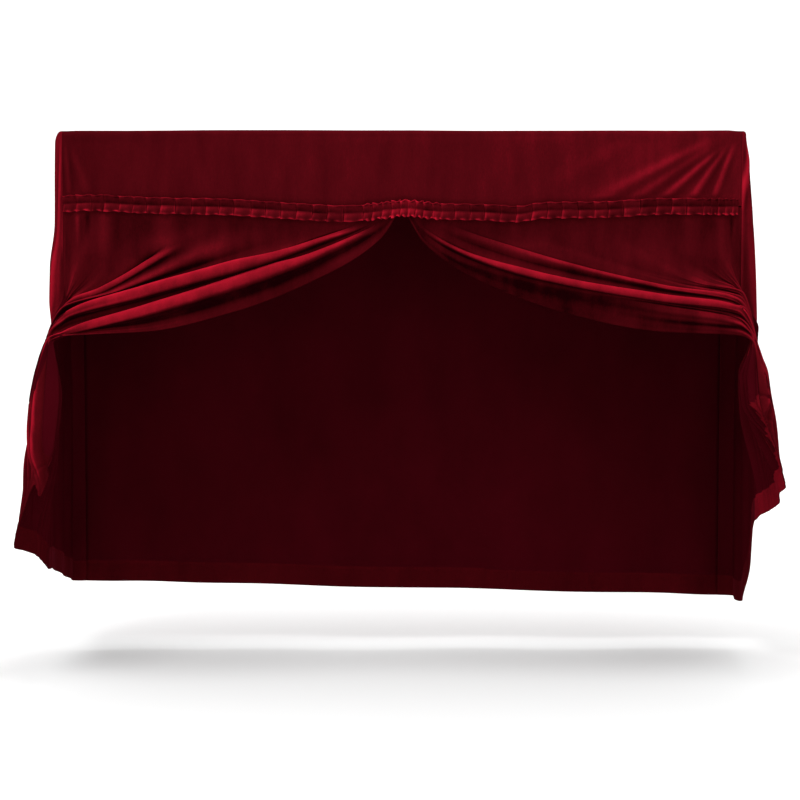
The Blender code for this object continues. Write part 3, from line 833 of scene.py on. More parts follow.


def thread_knots(drop, u):
    """Points of the threads at places u across a curtain, from the seam to the hem."""
    folds = drop.folds
    fields = FoldRow._fields[1:]
    rows = smooth(
        [row.across for row in folds], [[getattr(row, f) for f in fields] for row in folds], u
    )
    fold = dict(zip(fields, rows.T))
    seam_z = seam_height(drop.side * fold["seam_x"])
    stand, out = fold["stand"], fold["tuck_out"]
    knots = []
    for w in (place / TUCK_PLACE for place in THREAD_PLACES if place <= TUCK_PLACE):
        sag = fold["sag"] * math.sqrt(w) * (1 - w) * SAG_PEAK
        sag = sag + fold["late_sag"] * w * w * (1 - w) * LATE_PEAK
        x = fold["seam_x"] + (TUCK_X - fold["seam_x"]) * w
        y = -HALF_DEPTH - stand * math.sin(math.pi * w) ** STAND_SHAPE - out * w * w
        z = seam_z + (fold["tuck_z"] - seam_z) * w - sag
        knots.append(np.stack([x, y, z], axis=1))
    ridge = OVER_SHARE * (fold["fall_x"] - OVER_X)
    over_y = OVER_Y[0] + (OVER_Y[1] - OVER_Y[0]) * u
    knots.append(np.stack([OVER_X + ridge, over_y, OVER_Z + ridge], axis=1))
    knots.append(np.stack([fold["fall_x"], fold["fall_y"], 0 * u + drop.fall_z], axis=1))
    knots.append(np.stack([fold["hem_x"], fold["hem_y"], fold["hem_z"]], axis=1))
    knots = np.stack(knots)
    knots[:, :, 0] *= drop.side
    return knots


def beside_front_edge(side, z):
    """The curtain's place just clear of the end panel's front edge, at heights z."""
    edge = front_edge(side, z)
    free = ease((LOOSE_FROM + LOOSE_RUN - z) / LOOSE_RUN)
    gap = (LOOSE_GAP + SEAM_LAP) * (free * after(z, FLAT_AGAIN)) - SEAM_LAP
    return edge[..., 0] + side * SEAM_LAP * (1 - free), edge[..., 1] - gap * free


def rolls(drop, u, w, forward, depth):
    """Cloth rolled over below the main ridges: flat above a sharp line, then a soft brow.

    The flat part lies back in the trough above the ridge, from how far forward the cloth is.
    Also gives where a highlight is painted along the sharp line itself.
    """
    total = 0.0 * u * w
    rim_highlight = 0.0 * u * w
    lines = np.abs(u - [row.across for row in drop.folds]).argmin(axis=0)
    for k, row in enumerate(drop.folds):
        if row.roll == 0:
            continue
        trough, crest = forward[lines[k - 1]], forward[lines[k]]
        past = (u - row.across) / ROLL_WIDTH
        turn = np.sin(QUARTER_TURN * np.clip(past, 0.0, 1.0))
        back = np.where(past < 0, trough - forward, (trough - crest) * (1 - turn))
        back = np.where(u > drop.folds[k - 1].across, np.minimum(back, 0.0), 0.0)
        groove = -ROLL_GROOVE * np.exp(np.minimum(past, 0.0) / GROOVE_RUN)
        brow = np.where(past > 0, (1 + ROLL_GROOVE) * turn - ROLL_GROOVE, groove)
        brow = brow * (1 - after(past, BROW_FADE))
        start = ease((w - row.begin) / ROLL_START)
        total = total + start * (1 - after(w, TROUGH_FADE)) * back
        total = total + start * (1 - ROLL_LOST * after(w, ROLL_FADE)) * row.roll * depth * brow
        rim_highlight = rim_highlight + start * row.roll * hump(past, RIM)
    return total * until(w, ROLL_END), rim_highlight * until(w, RIM_END)


def crinkles(u, w, seed, depth):
    """Small folds along the threads, deepest where the curtain is tucked in at the arm."""
    chance = np.random.RandomState(seed)
    total = 0.0 * u * w
    for pitch in CRINKLE_PITCHES:
        start = chance.uniform(0, FULL_TURN)
        lean = chance.uniform(-CRINKLE_LEAN, CRINKLE_LEAN)
        wave = np.sin(FULL_TURN * pitch * u + lean * w * CRINKLE_SLANT + start)
        total = total + wave * (CRINKLE_SHARE / (pitch + CRINKLE_SOFT))
    drop = DROP_CRINKLES * after(w, DROP_START) * until(w, DROP_END)
    return depth * total / CRINKLE_SUM * (hump(w, TUCK_CRINKLES) + drop)


def close_folds(u, w, seed, depth):
    """Close folds that take up the width of a curtain once it is drawn back past the arm.

    Also gives where a highlight is painted along their brows.
    """
    chance = np.random.RandomState(seed)
    turns = CLOSE_FOLDS * u
    for row in CLOSE_DRIFTS:
        start = chance.uniform(0, FULL_TURN)
        turns = turns + CLOSE_DRIFT * np.sin(FULL_TURN * row.pitch * u + row.lean * w + start)
    start = chance.uniform(0, FULL_TURN)
    uneven = np.sin(FULL_TURN * CLOSE_UNEVEN.pitch * u + CLOSE_UNEVEN.lean * w + start)
    uneven = CLOSE_MEAN + CLOSE_SWING * uneven
    span = CLOSE_NEAR * after(w, NEAR_START) + CLOSE_FAR * after(w, FAR_START)
    span = span * (1 - CLOSE_LOST * after(w, CLOSE_FADE))
    span = span * ease(u / CLOSE_OUTER) * until(u, CLOSE_END)
    turned = np.sin(FULL_TURN * turns)
    brows = after(np.abs(turned), BROW_LINE)
    return depth * (turned - CLOSE_SINK) * uneven * span, brows * uneven * span


def hanging_folds(x, below):
    """Soft folds that hang from the seam behind the band."""
    total = 0.0 * x
    for row in HANGING_FOLDS:
        fade = after(below, HANG_START) * until(below, Ramp(row.length, HANG_FADE * row.length))
        total = total + row.height * bell(x - row.x, row.width) * fade
    return total


def curtain_painted_light(grid, drop, u, w, rim_highlight, brows):
    """Painted light and shade of a curtain's pile, with what its folds add."""
    calm = 1 - DROP_CALM * after(w, FALLING)
    nap = painted_light_of(grid, up_painted_light=CURTAIN_UP_PAINTED_LIGHT) - PLAIN_TONE
    nap = PLAIN_TONE + nap * calm - CURTAIN_SHADE
    under = after(u, Ramp(drop.under, UNDER_RUN)) - FREE_EDGE * after(u, FREE_EDGE_START)
    nap = nap - UNDER_SHADE * under * (1 - after(w, UNDER_FADE))
    return np.clip(nap + RIM_PAINTED_HIGHLIGHT * rim_highlight + drop.brows * brows, 0.0, 1.0)


def curtain_grid(drop, sizes):
    """Grid of points of a curtain, [across][down], from left to right, and its painted light."""
    u = np.linspace(0.0, 1.0, CURTAIN_COLUMNS)
    down = np.unique(np.concatenate([np.linspace(*span) for span in CURTAIN_ROWS]))
    grid = smooth(THREAD_PLACES, thread_knots(drop, u), down)
    x, y, z = grid[..., 0], grid[..., 1], grid[..., 2]
    below = seam_height(x) - z
    clear = after(below, FOLDS_BELOW)
    upper = down[:, None] <= TUCK_PLACE
    y[...] = np.where(upper, -HALF_DEPTH + clear * (y + HALF_DEPTH), y)
    z[0] -= HEADING_GAP / 2
    x[:, 0], y[:, 0] = beside_front_edge(drop.side, z[:, 0])
    grid = grid.transpose(1, 0, 2)
    below, clear = below.T, clear.T
    u, w = u[:, None], down[None, :]
    if drop.side > 0:
        grid, below, clear, u = grid[::-1], below[::-1], clear[::-1], u[::-1]

    outward = np.array([drop.side, 0.0, 0.0])
    falling = after(w, FALLING)[..., None]
    way = (1 - falling) * softened(normals(grid), WAY_SOFTENED) + falling * outward
    edge = ease(u / OUTER_EDGE)
    in_front = np.where(w <= TUCK_PLACE, clear, 1.0)
    rolled = np.where(w <= TUCK_PLACE, after(below, ROLLS_BELOW), 1.0)
    folds, rim_highlight = rolls(drop, u, w, -HALF_DEPTH - grid[..., 1], sizes.roll)
    close, brows = close_folds(u, w, drop.seed + 4, sizes.fullness)
    grid = grid + way * (folds * edge * rolled + close)[..., None]

    height = crinkles(u, w, drop.seed, sizes.crinkle) * in_front
    slow = ripple(grid[..., 0] + grid[..., 1], grid[..., 2], drop.seed + 1)
    height = height + sizes.unevenness * slow * in_front * after(w, UNEVEN_BELOW)
    height = height + hanging_folds(grid[..., 0], below)
    grid = grid + normals(grid) * (height * edge)[..., None]
    grid = with_hem(grid, sizes.hem, drop.seed + 3)
    return grid, curtain_painted_light(grid, drop, u, w, rim_highlight * rolled, brows)


# ---------------------------------------------------------------------------
# Other panels
# ---------------------------------------------------------------------------

# Cloth lies still near its seams.  Margins are in metres, or in shares of the panel's width
# where it is placed from 0 to 1.
SIDE_LEVELS = (-0.34, -0.54) # levels between which an end panel's rows are closest
SIDE_HEM_ROWS = 0.075        # height of the close rows at its hem
SIDE_PARTS = (44, 50, 40, 26)     # rows from the top edge to each level and to the hem
SIDE_MARGIN = 0.06
SIDE_TOP_MARGIN = 0.12
SIDE_SEAM_MARGIN = 0.002
SIDE_PAINTED_LIGHT_LOST = 0.6        # share of the painted light of an end panel that is gone below the arm
SIDE_PAINTED_LIGHT_RUN = 0.25        # height over which it goes

VALANCE_COLUMNS = 361
VALANCE_PARTS = 64           # rows from the top edge to the seam
VALANCE_MIDDLE = -0.1        # level at which the valance's width sets where its seam runs
VALANCE_MARGIN = 0.02
BAND_REACH = 0.9             # share of the band's half height that holds the valance flat
BAND_RUN = 0.012             # height over which it is free again
CREASE_HELD = (0.25, 0.75)   # shares of the creases' height behind the band, and gained above
UNEVEN_HELD = (0.2, 0.8)     # the same for the slow waviness
VALANCE_LIGHTER = 0.09           # how much lighter its colour is made at the middle
VALANCE_LIGHTER_RIGHT = 0.08     # and how much more towards its right end, or less towards its left

BACK_COLUMNS = 161
BACK_HEM_ROWS = 0.93         # share of the height above the close rows at the hem
BACK_PARTS = (66, 24)        # rows above that, and below
BACK_MARGIN = 0.08
BACK_SEAM_MARGIN = 0.05
BACK_TOP_MARGIN = 0.10
BACK_FOLDS_GROW = 0.9        # height over which the folds of the back grow to their full depth

TOP_COLUMNS = 181
TOP_ROWS = 61
TOP_MARGIN = 0.03


def side_grid(drop, sizes):
    """Grid of points of an end panel, from left to right as seen from outside, and its painted
    light.
    """
    side, hem_front = drop.side, drop.folds[0].hem_z
    columns = side_columns()
    rows = turn_rows()
    levels = (rows[-1][1], *SIDE_LEVELS, hem_front + SIDE_HEM_ROWS, hem_front)
    heights = np.concatenate([
        closer(high, low, parts)[1:] for high, low, parts in zip(levels, levels[1:], SIDE_PARTS)
    ])
    lower = ease((heights - HEM_FROM) / (hem_front - HEM_FROM))
    lines = []
    for column in columns:
        rise = (hem_front - drop.hem_back) * (1 - along_end(column)) ** drop.hem_curve
        turn = [side_line(side, column, reach, np.array(z)) for reach, z in rows]
        line = side_line(side, column, 0.0, heights + (drop.hem_back + rise - hem_front) * lower)
        lines.append(np.concatenate([np.stack(turn), line]))
    grid = np.stack(lines)
    place = np.linspace(0, 1, len(columns))[:, None]
    if side < 0:
        grid, place = grid[::-1], place[::-1]
    z = grid[..., 2]
    along = lengths(grid, 0)[:, len(rows):len(rows) + 1]
    if side < 0:
        along = along[-1] - along
    inside = between(place, SIDE_MARGIN) * ease(-z / SIDE_TOP_MARGIN)
    slow = panel_ripple(SIDE_UNEVEN, grid[..., 1], z, side)
    height = sizes.unevenness * SIDE_UNEVEN.depth * inside * slow
    creases = LEFT_CREASES if side < 0 else RIGHT_CREASES
    height = height + crease_height(creases, along, z) * ease(along / SIDE_SEAM_MARGIN)
    folded = with_hem(grid + normals(grid) * height[..., None], sizes.hem, SIDE_HEM_SEED + side)
    # Painted light: the end panel is painted lighter, less so below the arm.
    brushed = drop.brushed * (1 - SIDE_PAINTED_LIGHT_LOST * ease((ARM_TOP - z) / SIDE_PAINTED_LIGHT_RUN))
    return folded, np.clip(painted_light_of(folded, grid) + brushed, 0.0, 1.0)


def valance_grid(sizes):
    """Grid of points of the valance, from the turned top edge to its seam, and its painted light.
    """
    share = np.linspace(-1, 1, VALANCE_COLUMNS)
    top = turn_rows()[-1][1]
    middle = wall_x(share, np.array(VALANCE_MIDDLE), 0.0, front_edge)
    low = seam_height(middle) + HEADING_GAP / 2
    part = np.linspace(0, 1, VALANCE_PARTS + 1)[1:]
    z = top + (low[:, None] - top) * part
    grid = wall_grid(share, z, front_edge, -1, 0 * z)
    x, z = grid[..., 0], grid[..., 2]
    above_band = ease((z - seam_height(x) - RUFFLE_HALF * BAND_REACH) / BAND_RUN)
    inside = ease((top - z) / VALANCE_MARGIN) * ease((HALF_WIDTH - np.abs(x)) / VALANCE_MARGIN)
    held, gained = CREASE_HELD
    height = crease_height(VALANCE_CREASES, x, z) * (held + gained * above_band)
    held, gained = UNEVEN_HELD
    slow = VALANCE_UNEVEN.depth * sizes.unevenness * panel_ripple(VALANCE_UNEVEN, x, z)
    height = height + slow * (held + gained * above_band)
    folded = grid + normals(grid) * (height * inside)[..., None]
    made_lighter = VALANCE_LIGHTER + VALANCE_LIGHTER_RIGHT * share[:, None]
    return folded, np.clip(painted_light_of(folded, grid) + made_lighter, 0.0, 1.0)


def back_grid(sizes):
    """Grid of points of the back panel, from left to right as seen from behind, and its painted
    light.
    """
    share = np.linspace(1, -1, BACK_COLUMNS)
    place = np.linspace(0, 1, BACK_COLUMNS)
    rows = turn_rows()
    top = rows[-1][1]
    left, right = (drop.hem_back for drop in DROPS)
    hem = (left * (1 - share) + right * (1 + share)) / 2
    ends = (0.0, BACK_HEM_ROWS, 1.0)
    part = np.concatenate([
        closer(start, end, parts)[1:] for start, end, parts in zip(ends, ends[1:], BACK_PARTS)
    ])
    z = top + (hem[:, None] - top) * part
    fold = (between(place, BACK_MARGIN) * waves(BACK_WAVES, place))[:, None]
    grid = wall_grid(share, z, back_edge, 1, fold * ease(-z / BACK_FOLDS_GROW))
    plain = grid.copy()
    plain[:, len(rows):, 1] = HALF_DEPTH
    x, z = grid[..., 0], grid[..., 2]
    inside = ease((HALF_WIDTH - np.abs(x)) / BACK_SEAM_MARGIN) * ease((top - z) / BACK_TOP_MARGIN)
    slow = panel_ripple(BACK_UNEVEN, x, z)
    height = BACK_UNEVEN.depth * sizes.unevenness * inside * slow
    folded = with_hem(grid + normals(grid) * height[..., None], sizes.hem, BACK_HEM_SEED)
    return folded, painted_light_of(folded, plain)


def top_grid(sizes):
    """Grid of points of the top panel, lying on the lid, and its painted light."""
    half_x = HALF_WIDTH - TOP_TURN + SEAM_LAP
    half_y = HALF_DEPTH - TOP_TURN + SEAM_LAP
    x = np.linspace(-half_x, half_x, TOP_COLUMNS)[:, None] + np.zeros((1, TOP_ROWS))
    y = np.linspace(half_y, -half_y, TOP_ROWS)[None, :] + np.zeros((TOP_COLUMNS, 1))
    inside = ease((half_x - np.abs(x)) / TOP_MARGIN) * ease((half_y - np.abs(y)) / TOP_MARGIN)
    lift = TOP_UNEVEN.depth * sizes.unevenness * (1 + panel_ripple(TOP_UNEVEN, x, y)) * inside
    folded = np.stack([x, y, TOP_MIDDLE + lift], axis=2)
    plain = np.stack([x, y, TOP_MIDDLE + 0 * lift], axis=2)
    return folded, painted_light_of(folded, plain)


# ---------------------------------------------------------------------------
# Pleated band
# ---------------------------------------------------------------------------

# Places across a pleat are shares of its width, and places down the band go from 1 at its top
# edge to -1 at its bottom edge.
BAND_PARTS = 26              # rows of the band, and how much closer they are at its edges
BAND_CLOSER = 0.35
PLEAT_PLACES = (0.0, 0.03, 0.07, *np.linspace(0.12, 0.96, 13))
PLEAT_WIDTHS = (0.86, 1.14)  # least and most, as shares of the even width
PLEAT_LATE = 0.3             # even widths by which a pleat may end late
PLEAT_STANDS = (0.75, 1.25)  # least and most, as shares of how far they stand out
ROW_STANDS = (0.75, 1.2)     # the same for the halves above and below the stitches
PLEAT_BROW = 0.10            # where a pleat stands highest
PLEAT_SLOPE = 0.80           # width over which it falls back, and the share that it loses
PLEAT_LOST = 0.72
PUFF_LEAST = 0.30            # share of its stand at the stitches, and what it gains away from them
PUFF_GAIN = 0.70
PUFF_ROUND = 0.03            # how softly it starts there
PUFF_SPAN = 0.76             # half turns of the wave that it follows to the edge
WAVER = 0.0006               # small unevenness of the pleats, and its radians across one
WAVER_TURNS = 9
OPEN_EDGE = Ramp(0.72, 0.28) # where the edges frill
FRILL_TURNS = 1.5            # waves of the frill in a pleat
FRILL_DROP = 0.55            # how far it moves up and down, as a share of its stand
STITCH_PINCH = 0.0006        # depth and half height of the line of stitches
STITCH_REACH = 0.16
OVERLAP = 0.0026             # how far a pleat's brow laps over the one before
OVERLAP_AT = SpotRow(0.08, 0.05)
PLEAT_LEAN = 0.0014          # the most that a pleat leans

# Tone of the band's upper and lower rows: their plain level, the most that chance adds,
# and how much painted highlight and shade the bends of the pleats get
BandRow = namedtuple("BandRow", "nap chance pleats")
UPPER_ROW = BandRow(0.25, 0.07, 0.20)
LOWER_ROW = BandRow(0.27, 0.09, 0.26)
BAND_UP_PAINTED_LIGHT = 0.45           # painted light from above: how much lighter where cloth faces up
PLEAT_BEND = 0.0009          # stand of a pleat that gets nearly all of that painted highlight or shade
EDGE_PAINTED_HIGHLIGHT = 0.28              # painted highlight: how much lighter at the edges of the band
EDGES_AT = SpotRow(1.0, 0.12)
STITCH_DARKER = 0.04            # how much darker along the stitches
STITCH_DARKER_REACH = 0.10
MIDDLE_LIGHTER = 0.24            # and how much lighter at the middle of the front, within this reach
MIDDLE_REACH = 0.090

Pleat = namedtuple("Pleat", "x s stand upper lower lean phase frill upper_tone lower_tone")


def pleat_columns():
    """Columns of the band, with what chance gives the pleat that each is on."""
    chance = np.random.RandomState(BAND_SEED)
    columns = []
    for zone in PLEATS:
        pitch = (zone.end - zone.start) / zone.pleats
        start = zone.start
        for k in range(zone.pleats):
            end = zone.end
            if k < zone.pleats - 1:
                latest = zone.start + pitch * (k + 1) + PLEAT_LATE * pitch
                end = min(start + pitch * chance.uniform(*PLEAT_WIDTHS), latest)
            stand = zone.stand * chance.uniform(*PLEAT_STANDS)
            upper, lower = chance.uniform(*ROW_STANDS, 2)
            lean, phase = chance.uniform(-1, 1), chance.uniform(0, FULL_TURN)
            tones = chance.uniform(-1, 1, 2)
            for s in PLEAT_PLACES:
                x = start + (end - start) * s
                columns.append((x, s, stand, upper, lower, lean, phase, zone.frill, *tones))
            start = end
    columns.append((PLEATS[-1].end, 0.0, 0.0, 1.0, 1.0, 0.0, 0.0, 0.0, 0.0, 0.0))
    return Pleat(*(np.array(field)[:, None] for field in zip(*columns)))


def band_grid():
    """Grid of points of the pleated band, stitched along its middle, and its tone and painted
    light.
    """
    at = pleat_columns()
    v = closer(1.0, -1.0, BAND_PARTS, BAND_CLOSER)[None, :]
    off = np.abs(v)
    rise = ease(at.s / PLEAT_BROW) * (1 - PLEAT_LOST * ease((at.s - PLEAT_BROW) / PLEAT_SLOPE))
    puff = PUFF_LEAST + PUFF_GAIN * np.sin(math.pi * np.sqrt(v * v + PUFF_ROUND) * PUFF_SPAN)
    out = at.stand * rise * puff * np.where(v > 0, at.upper, at.lower)
    out = out + WAVER * np.sin(at.phase + WAVER_TURNS * at.s) * off
    open_edge = after(off, OPEN_EDGE)
    frill = 0.5 + 0.5 * np.sin(FULL_TURN * at.s * FRILL_TURNS + at.phase)
    out = out + at.frill * open_edge * frill
    lap = -OVERLAP * hump(at.s, OVERLAP_AT) * off
    wave = at.frill * FRILL_DROP * np.sin(FULL_TURN * at.s + at.phase) * open_edge * np.sign(v)
    x = at.x + (lap + PLEAT_LEAN * at.lean * v)
    y = -HALF_DEPTH - RUFFLE_CLEAR - out + bell(v, STITCH_REACH) * STITCH_PINCH
    z = seam_height(at.x) + v * RUFFLE_HALF + wave
    grid = np.stack([x, y, z], axis=2)

    upper = UPPER_ROW.nap + UPPER_ROW.chance * at.upper_tone
    lower = LOWER_ROW.nap + LOWER_ROW.chance * at.lower_tone
    # Painted light: the band is lighter where it faces up, on the bends of its pleats and at its
    # edges.
    nap = np.where(v > 0, upper, lower) + BAND_UP_PAINTED_LIGHT * normals(grid)[..., 2]
    pleat_painted_light = np.where(v > 0, UPPER_ROW.pleats, LOWER_ROW.pleats)
    nap = nap + pleat_painted_light * np.tanh(bend(grid, 1) / PLEAT_BEND)
    nap = nap + EDGE_PAINTED_HIGHLIGHT * hump(off, EDGES_AT) - STITCH_DARKER * bell(v, STITCH_DARKER_REACH)
    return grid, np.clip(nap + MIDDLE_LIGHTER * bell(at.x, MIDDLE_REACH), 0.0, 1.0)


# ---------------------------------------------------------------------------
# Materials
# ---------------------------------------------------------------------------

# Patterns over the cloth: waves a metre along each axis, and how fine their detail is
NoiseRow = namedtuple("NoiseRow", "scale detail")
STROKES = NoiseRow((26.0, 26.0, 7.0), 4.0)        # pile stroked up or down
PATCHES = NoiseRow((5.0, 5.0, 4.0), 2.0)          # broad patches of it
TUFTS = NoiseRow((1500.0, 1500.0, 1500.0), 2.0)
HAIRS = NoiseRow((420.0, 420.0, 120.0), 2.0)
WORN = NoiseRow((9.0, 9.0, 5.0), 4.0)             # lighter places of the backing
NOISE_ROUGHNESS = 0.55

STROKE_SWING = 2.2           # how far the strokes move the nap, at a strength of marks of 1
PATCH_SWING = 1.3            # the same for the patches
TUFT_SWING = 0.20            # how far the tufts move it, and the hairs
HAIR_SWING = 0.16
HAIR_HEIGHT = 0.6            # height of the hairs beside that of the tufts
FACE_LEVEL = 0.40              # value at which the pile has its face colour, between painted shade and painted highlight
BRIGHT_POWER = 1.35          # how late it turns to its painted highlight colour

PILE_BUMP = (0.35, 0.0006)   # strength and depth of the bump, in metres
PILE_ROUGHNESS = 0.72
SHEEN_ROUGHNESS = 0.28
SHEEN_TINT = (1.0, 0.10, 0.17, 1.0)
KNIT_SCALE = (640.0, 420.0, 1.0)  # half waves of the knit in a metre, across and down
KNIT_BUMP = (0.4, 0.0004)
KNIT_ROUGHNESS = 0.9
KNIT_SHADE = (0.10, 0.40)    # how much the loops lighten the backing, and its plain shade
WORN_SHADE = (0.55, -0.22)   # how much the worn places do, and what they take off elsewhere
KNIT_DARK = 0.45             # shares of the backing's colour at its darkest and its lightest
KNIT_LIGHT = 1.5


def node(tree, kind, place, **settings):
    made = tree.nodes.new(kind)
    made.location = place
    for key, value in settings.items():
        setattr(made, key, value)
    return made


def fill(made, **values):
    """Set sockets of a node by their names, with _ for a space."""
    for name, value in values.items():
        made.inputs[name.replace("_", " ")].default_value = value


def mix_colours(tree, place, factor, low, high):
    mix = node(tree, "ShaderNodeMix", place, data_type="RGBA")
    tree.links.new(factor, mix.inputs["Factor"])
    tree.links.new(low, mix.inputs["A"])
    tree.links.new(high, mix.inputs["B"])
    return mix.outputs["Result"]


def calculate(tree, operation, place, first, second=None, third=None, clamp=False):
    made = node(tree, "ShaderNodeMath", place, operation=operation, use_clamp=clamp)
    for socket, value in zip(made.inputs, (first, second, third)):
        if value is None:
            continue
        if isinstance(value, (int, float)):
            socket.default_value = value
        else:
            tree.links.new(value, socket)
    return made.outputs[0]


def stretched_noise(tree, place, row):
    """Noise over the piece, stretched by a different amount along each axis."""
    coordinates = node(tree, "ShaderNodeTexCoord", (place[0] - 400, place[1]))
    mapping = node(tree, "ShaderNodeMapping", (place[0] - 200, place[1]))
    fill(mapping, Scale=row.scale)
    noise = node(tree, "ShaderNodeTexNoise", place)
    fill(noise, Scale=1.0, Detail=row.detail, Roughness=NOISE_ROUGHNESS)
    tree.links.new(coordinates.outputs["Object"], mapping.inputs["Vector"])
    tree.links.new(mapping.outputs["Vector"], noise.inputs["Vector"])
    return noise.outputs["Fac"]


def bump(tree, shader, place, height, strength, distance):
    """Raise a shader's surface by a height."""
    made = node(tree, "ShaderNodeBump", place)
    fill(made, Strength=strength, Distance=distance)
    tree.links.new(height, made.inputs["Height"])
    tree.links.new(made.outputs["Normal"], shader.inputs["Normal"])


def pile_group():
    """Cut pile: its colour from the painted light and shade it is given, and the height of its
    tufts.
    """
    group = bpy.data.node_groups.new("cut pile", "ShaderNodeTree")
    for name, kind, way in (
        ("Deep", "NodeSocketColor", "INPUT"), ("Face", "NodeSocketColor", "INPUT"),
        ("Bright", "NodeSocketColor", "INPUT"), ("Lift", "NodeSocketFloat", "INPUT"),
        ("Marks", "NodeSocketFloat", "INPUT"), ("Relief", "NodeSocketFloat", "INPUT"),
        ("Colour", "NodeSocketColor", "OUTPUT"), ("Height", "NodeSocketFloat", "OUTPUT"),
    ):
        group.interface.new_socket(name=name, in_out=way, socket_type=kind)
    given = node(group, "NodeGroupInput", (-1400, 0)).outputs
    result = node(group, "NodeGroupOutput", (900, 0)).inputs

    def step(operation, place, *values, clamp=False):
        return calculate(group, operation, place, *values, clamp=clamp)

    nap = node(group, "ShaderNodeAttribute", (-1400, -260), attribute_name="nap").outputs["Fac"]
    nap = step("ADD", (-1200, -260), nap, -PLAIN_TONE)
    nap = step("MULTIPLY_ADD", (-1000, -260), nap, given["Relief"], PLAIN_TONE)
    strokes = stretched_noise(group, (-900, -400), STROKES)
    patches = stretched_noise(group, (-900, -700), PATCHES)
    tufts = stretched_noise(group, (-900, -1000), TUFTS)
    hairs = stretched_noise(group, (-900, -1300), HAIRS)

    marks = step("MULTIPLY_ADD", (-600, -400), strokes, STROKE_SWING, -STROKE_SWING / 2)
    patch = step("MULTIPLY_ADD", (-600, -700), patches, PATCH_SWING, -PATCH_SWING / 2)
    drift = step("ADD", (-440, -520), marks, patch)
    drift = step("MULTIPLY", (-280, -520), drift, given["Marks"])
    grain = step("MULTIPLY_ADD", (-600, -1000), tufts, TUFT_SWING, -TUFT_SWING / 2)
    grain = step("MULTIPLY_ADD", (-440, -1000), hairs, HAIR_SWING, grain)
    grain = step("ADD", (-280, -1000), grain, -HAIR_SWING / 2)
    lifted = step("ADD", (-440, -160), nap, given["Lift"])
    lifted = step("ADD", (-120, -160), lifted, drift)
    lifted = step("ADD", (40, -160), lifted, grain, clamp=True)

    low = step("MULTIPLY", (200, 60), lifted, 1 / FACE_LEVEL, clamp=True)
    gain = 1 / (1 - FACE_LEVEL)
    high = step("MULTIPLY_ADD", (200, -160), lifted, gain, -FACE_LEVEL * gain, clamp=True)
    high = step("POWER", (360, -160), high, BRIGHT_POWER)
    below = mix_colours(group, (480, 120), low, given["Deep"], given["Face"])
    colour = mix_colours(group, (680, 40), high, below, given["Bright"])
    height = step("MULTIPLY_ADD", (480, -420), hairs, HAIR_HEIGHT, tufts)
    group.links.new(colour, result["Colour"])
    group.links.new(height, result["Height"])
    return group


def plain_material(name, roughness):
    """A new dull material and its shader."""
    material = bpy.data.materials.new(name)
    material.use_nodes = True
    shader = material.node_tree.nodes["Principled BSDF"]
    fill(shader, Metallic=0.0, Roughness=roughness, Specular_IOR_Level=0.0)
    return material, shader


def velvet_material(name, look, colours):
    """Velvet seen from its pile, with the look of a row of the table of piles."""
    material, shader = plain_material(name, PILE_ROUGHNESS)
    tree = material.node_tree
    group = bpy.data.node_groups.get("cut pile") or pile_group()
    pile = node(tree, "ShaderNodeGroup", (-600, 100), node_tree=group)
    fill(pile, Lift=look.lift, Marks=look.marks, Relief=look.relief)
    for socket in ("Deep", "Face", "Bright"):
        pile.inputs[socket].default_value = (*getattr(colours, socket.lower()), 1.0)
    bump(tree, shader, (-300, -200), pile.outputs["Height"], *PILE_BUMP)
    tree.links.new(pile.outputs["Colour"], shader.inputs["Base Color"])
    fill(
        shader, Sheen_Weight=look.sheen, Sheen_Roughness=SHEEN_ROUGHNESS, Sheen_Tint=SHEEN_TINT
    )
    return material


def backing_material(name, colours):
    """Reverse of the velvet: a fine knit in columns of small loops, with no pile."""
    material, shader = plain_material(name, KNIT_ROUGHNESS)
    tree = material.node_tree
    cut = node(tree, "ShaderNodeUVMap", (-1400, 0), uv_map="cut")
    mapping = node(tree, "ShaderNodeMapping", (-1200, 0))
    fill(mapping, Scale=KNIT_SCALE)
    tree.links.new(cut.outputs["UV"], mapping.inputs["Vector"])
    split = node(tree, "ShaderNodeSeparateXYZ", (-1000, 0))
    tree.links.new(mapping.outputs["Vector"], split.inputs["Vector"])
    loops = []
    for axis, level in (("X", 60), ("Y", -120)):
        turned = calculate(tree, "MULTIPLY", (-900, level), split.outputs[axis], math.pi)
        loops.append(calculate(tree, "SINE", (-800, level), turned))
    knit = calculate(tree, "MULTIPLY", (-620, 0), *loops)
    worn = stretched_noise(tree, (-800, -360), WORN)
    shade = calculate(tree, "MULTIPLY_ADD", (-440, -120), knit, *KNIT_SHADE)
    shade = calculate(tree, "ADD", (-360, -260), shade, WORN_SHADE[1])
    shade = calculate(tree, "MULTIPLY_ADD", (-280, -120), worn, WORN_SHADE[0], shade)
    tint = node(tree, "ShaderNodeMix", (-100, 60), data_type="RGBA")
    for socket, share in (("A", KNIT_DARK), ("B", KNIT_LIGHT)):
        tint.inputs[socket].default_value = (*[c * share for c in colours.backing], 1.0)
    tree.links.new(shade, tint.inputs["Factor"])
    tree.links.new(tint.outputs["Result"], shader.inputs["Base Color"])
    bump(tree, shader, (-100, -220), knit, *KNIT_BUMP)
    return material


def made_once(name, make, *details):
    """The material of that name, made when it is first asked for."""
    return bpy.data.materials.get(name) or make(name, *details)


def cover_materials(colours, outside=PANEL_PILE, hem=HEM_PILE):
    """The pile of a piece, the knitted backing inside it and the pile turned in at its hem."""
    pile = made_once(outside.name, velvet_material, outside, colours)
    turned = made_once(hem.name, velvet_material, hem, colours)
    backing = made_once("knitted backing", backing_material, colours)
    return pile, backing, turned


# ---------------------------------------------------------------------------
# Stage
# ---------------------------------------------------------------------------

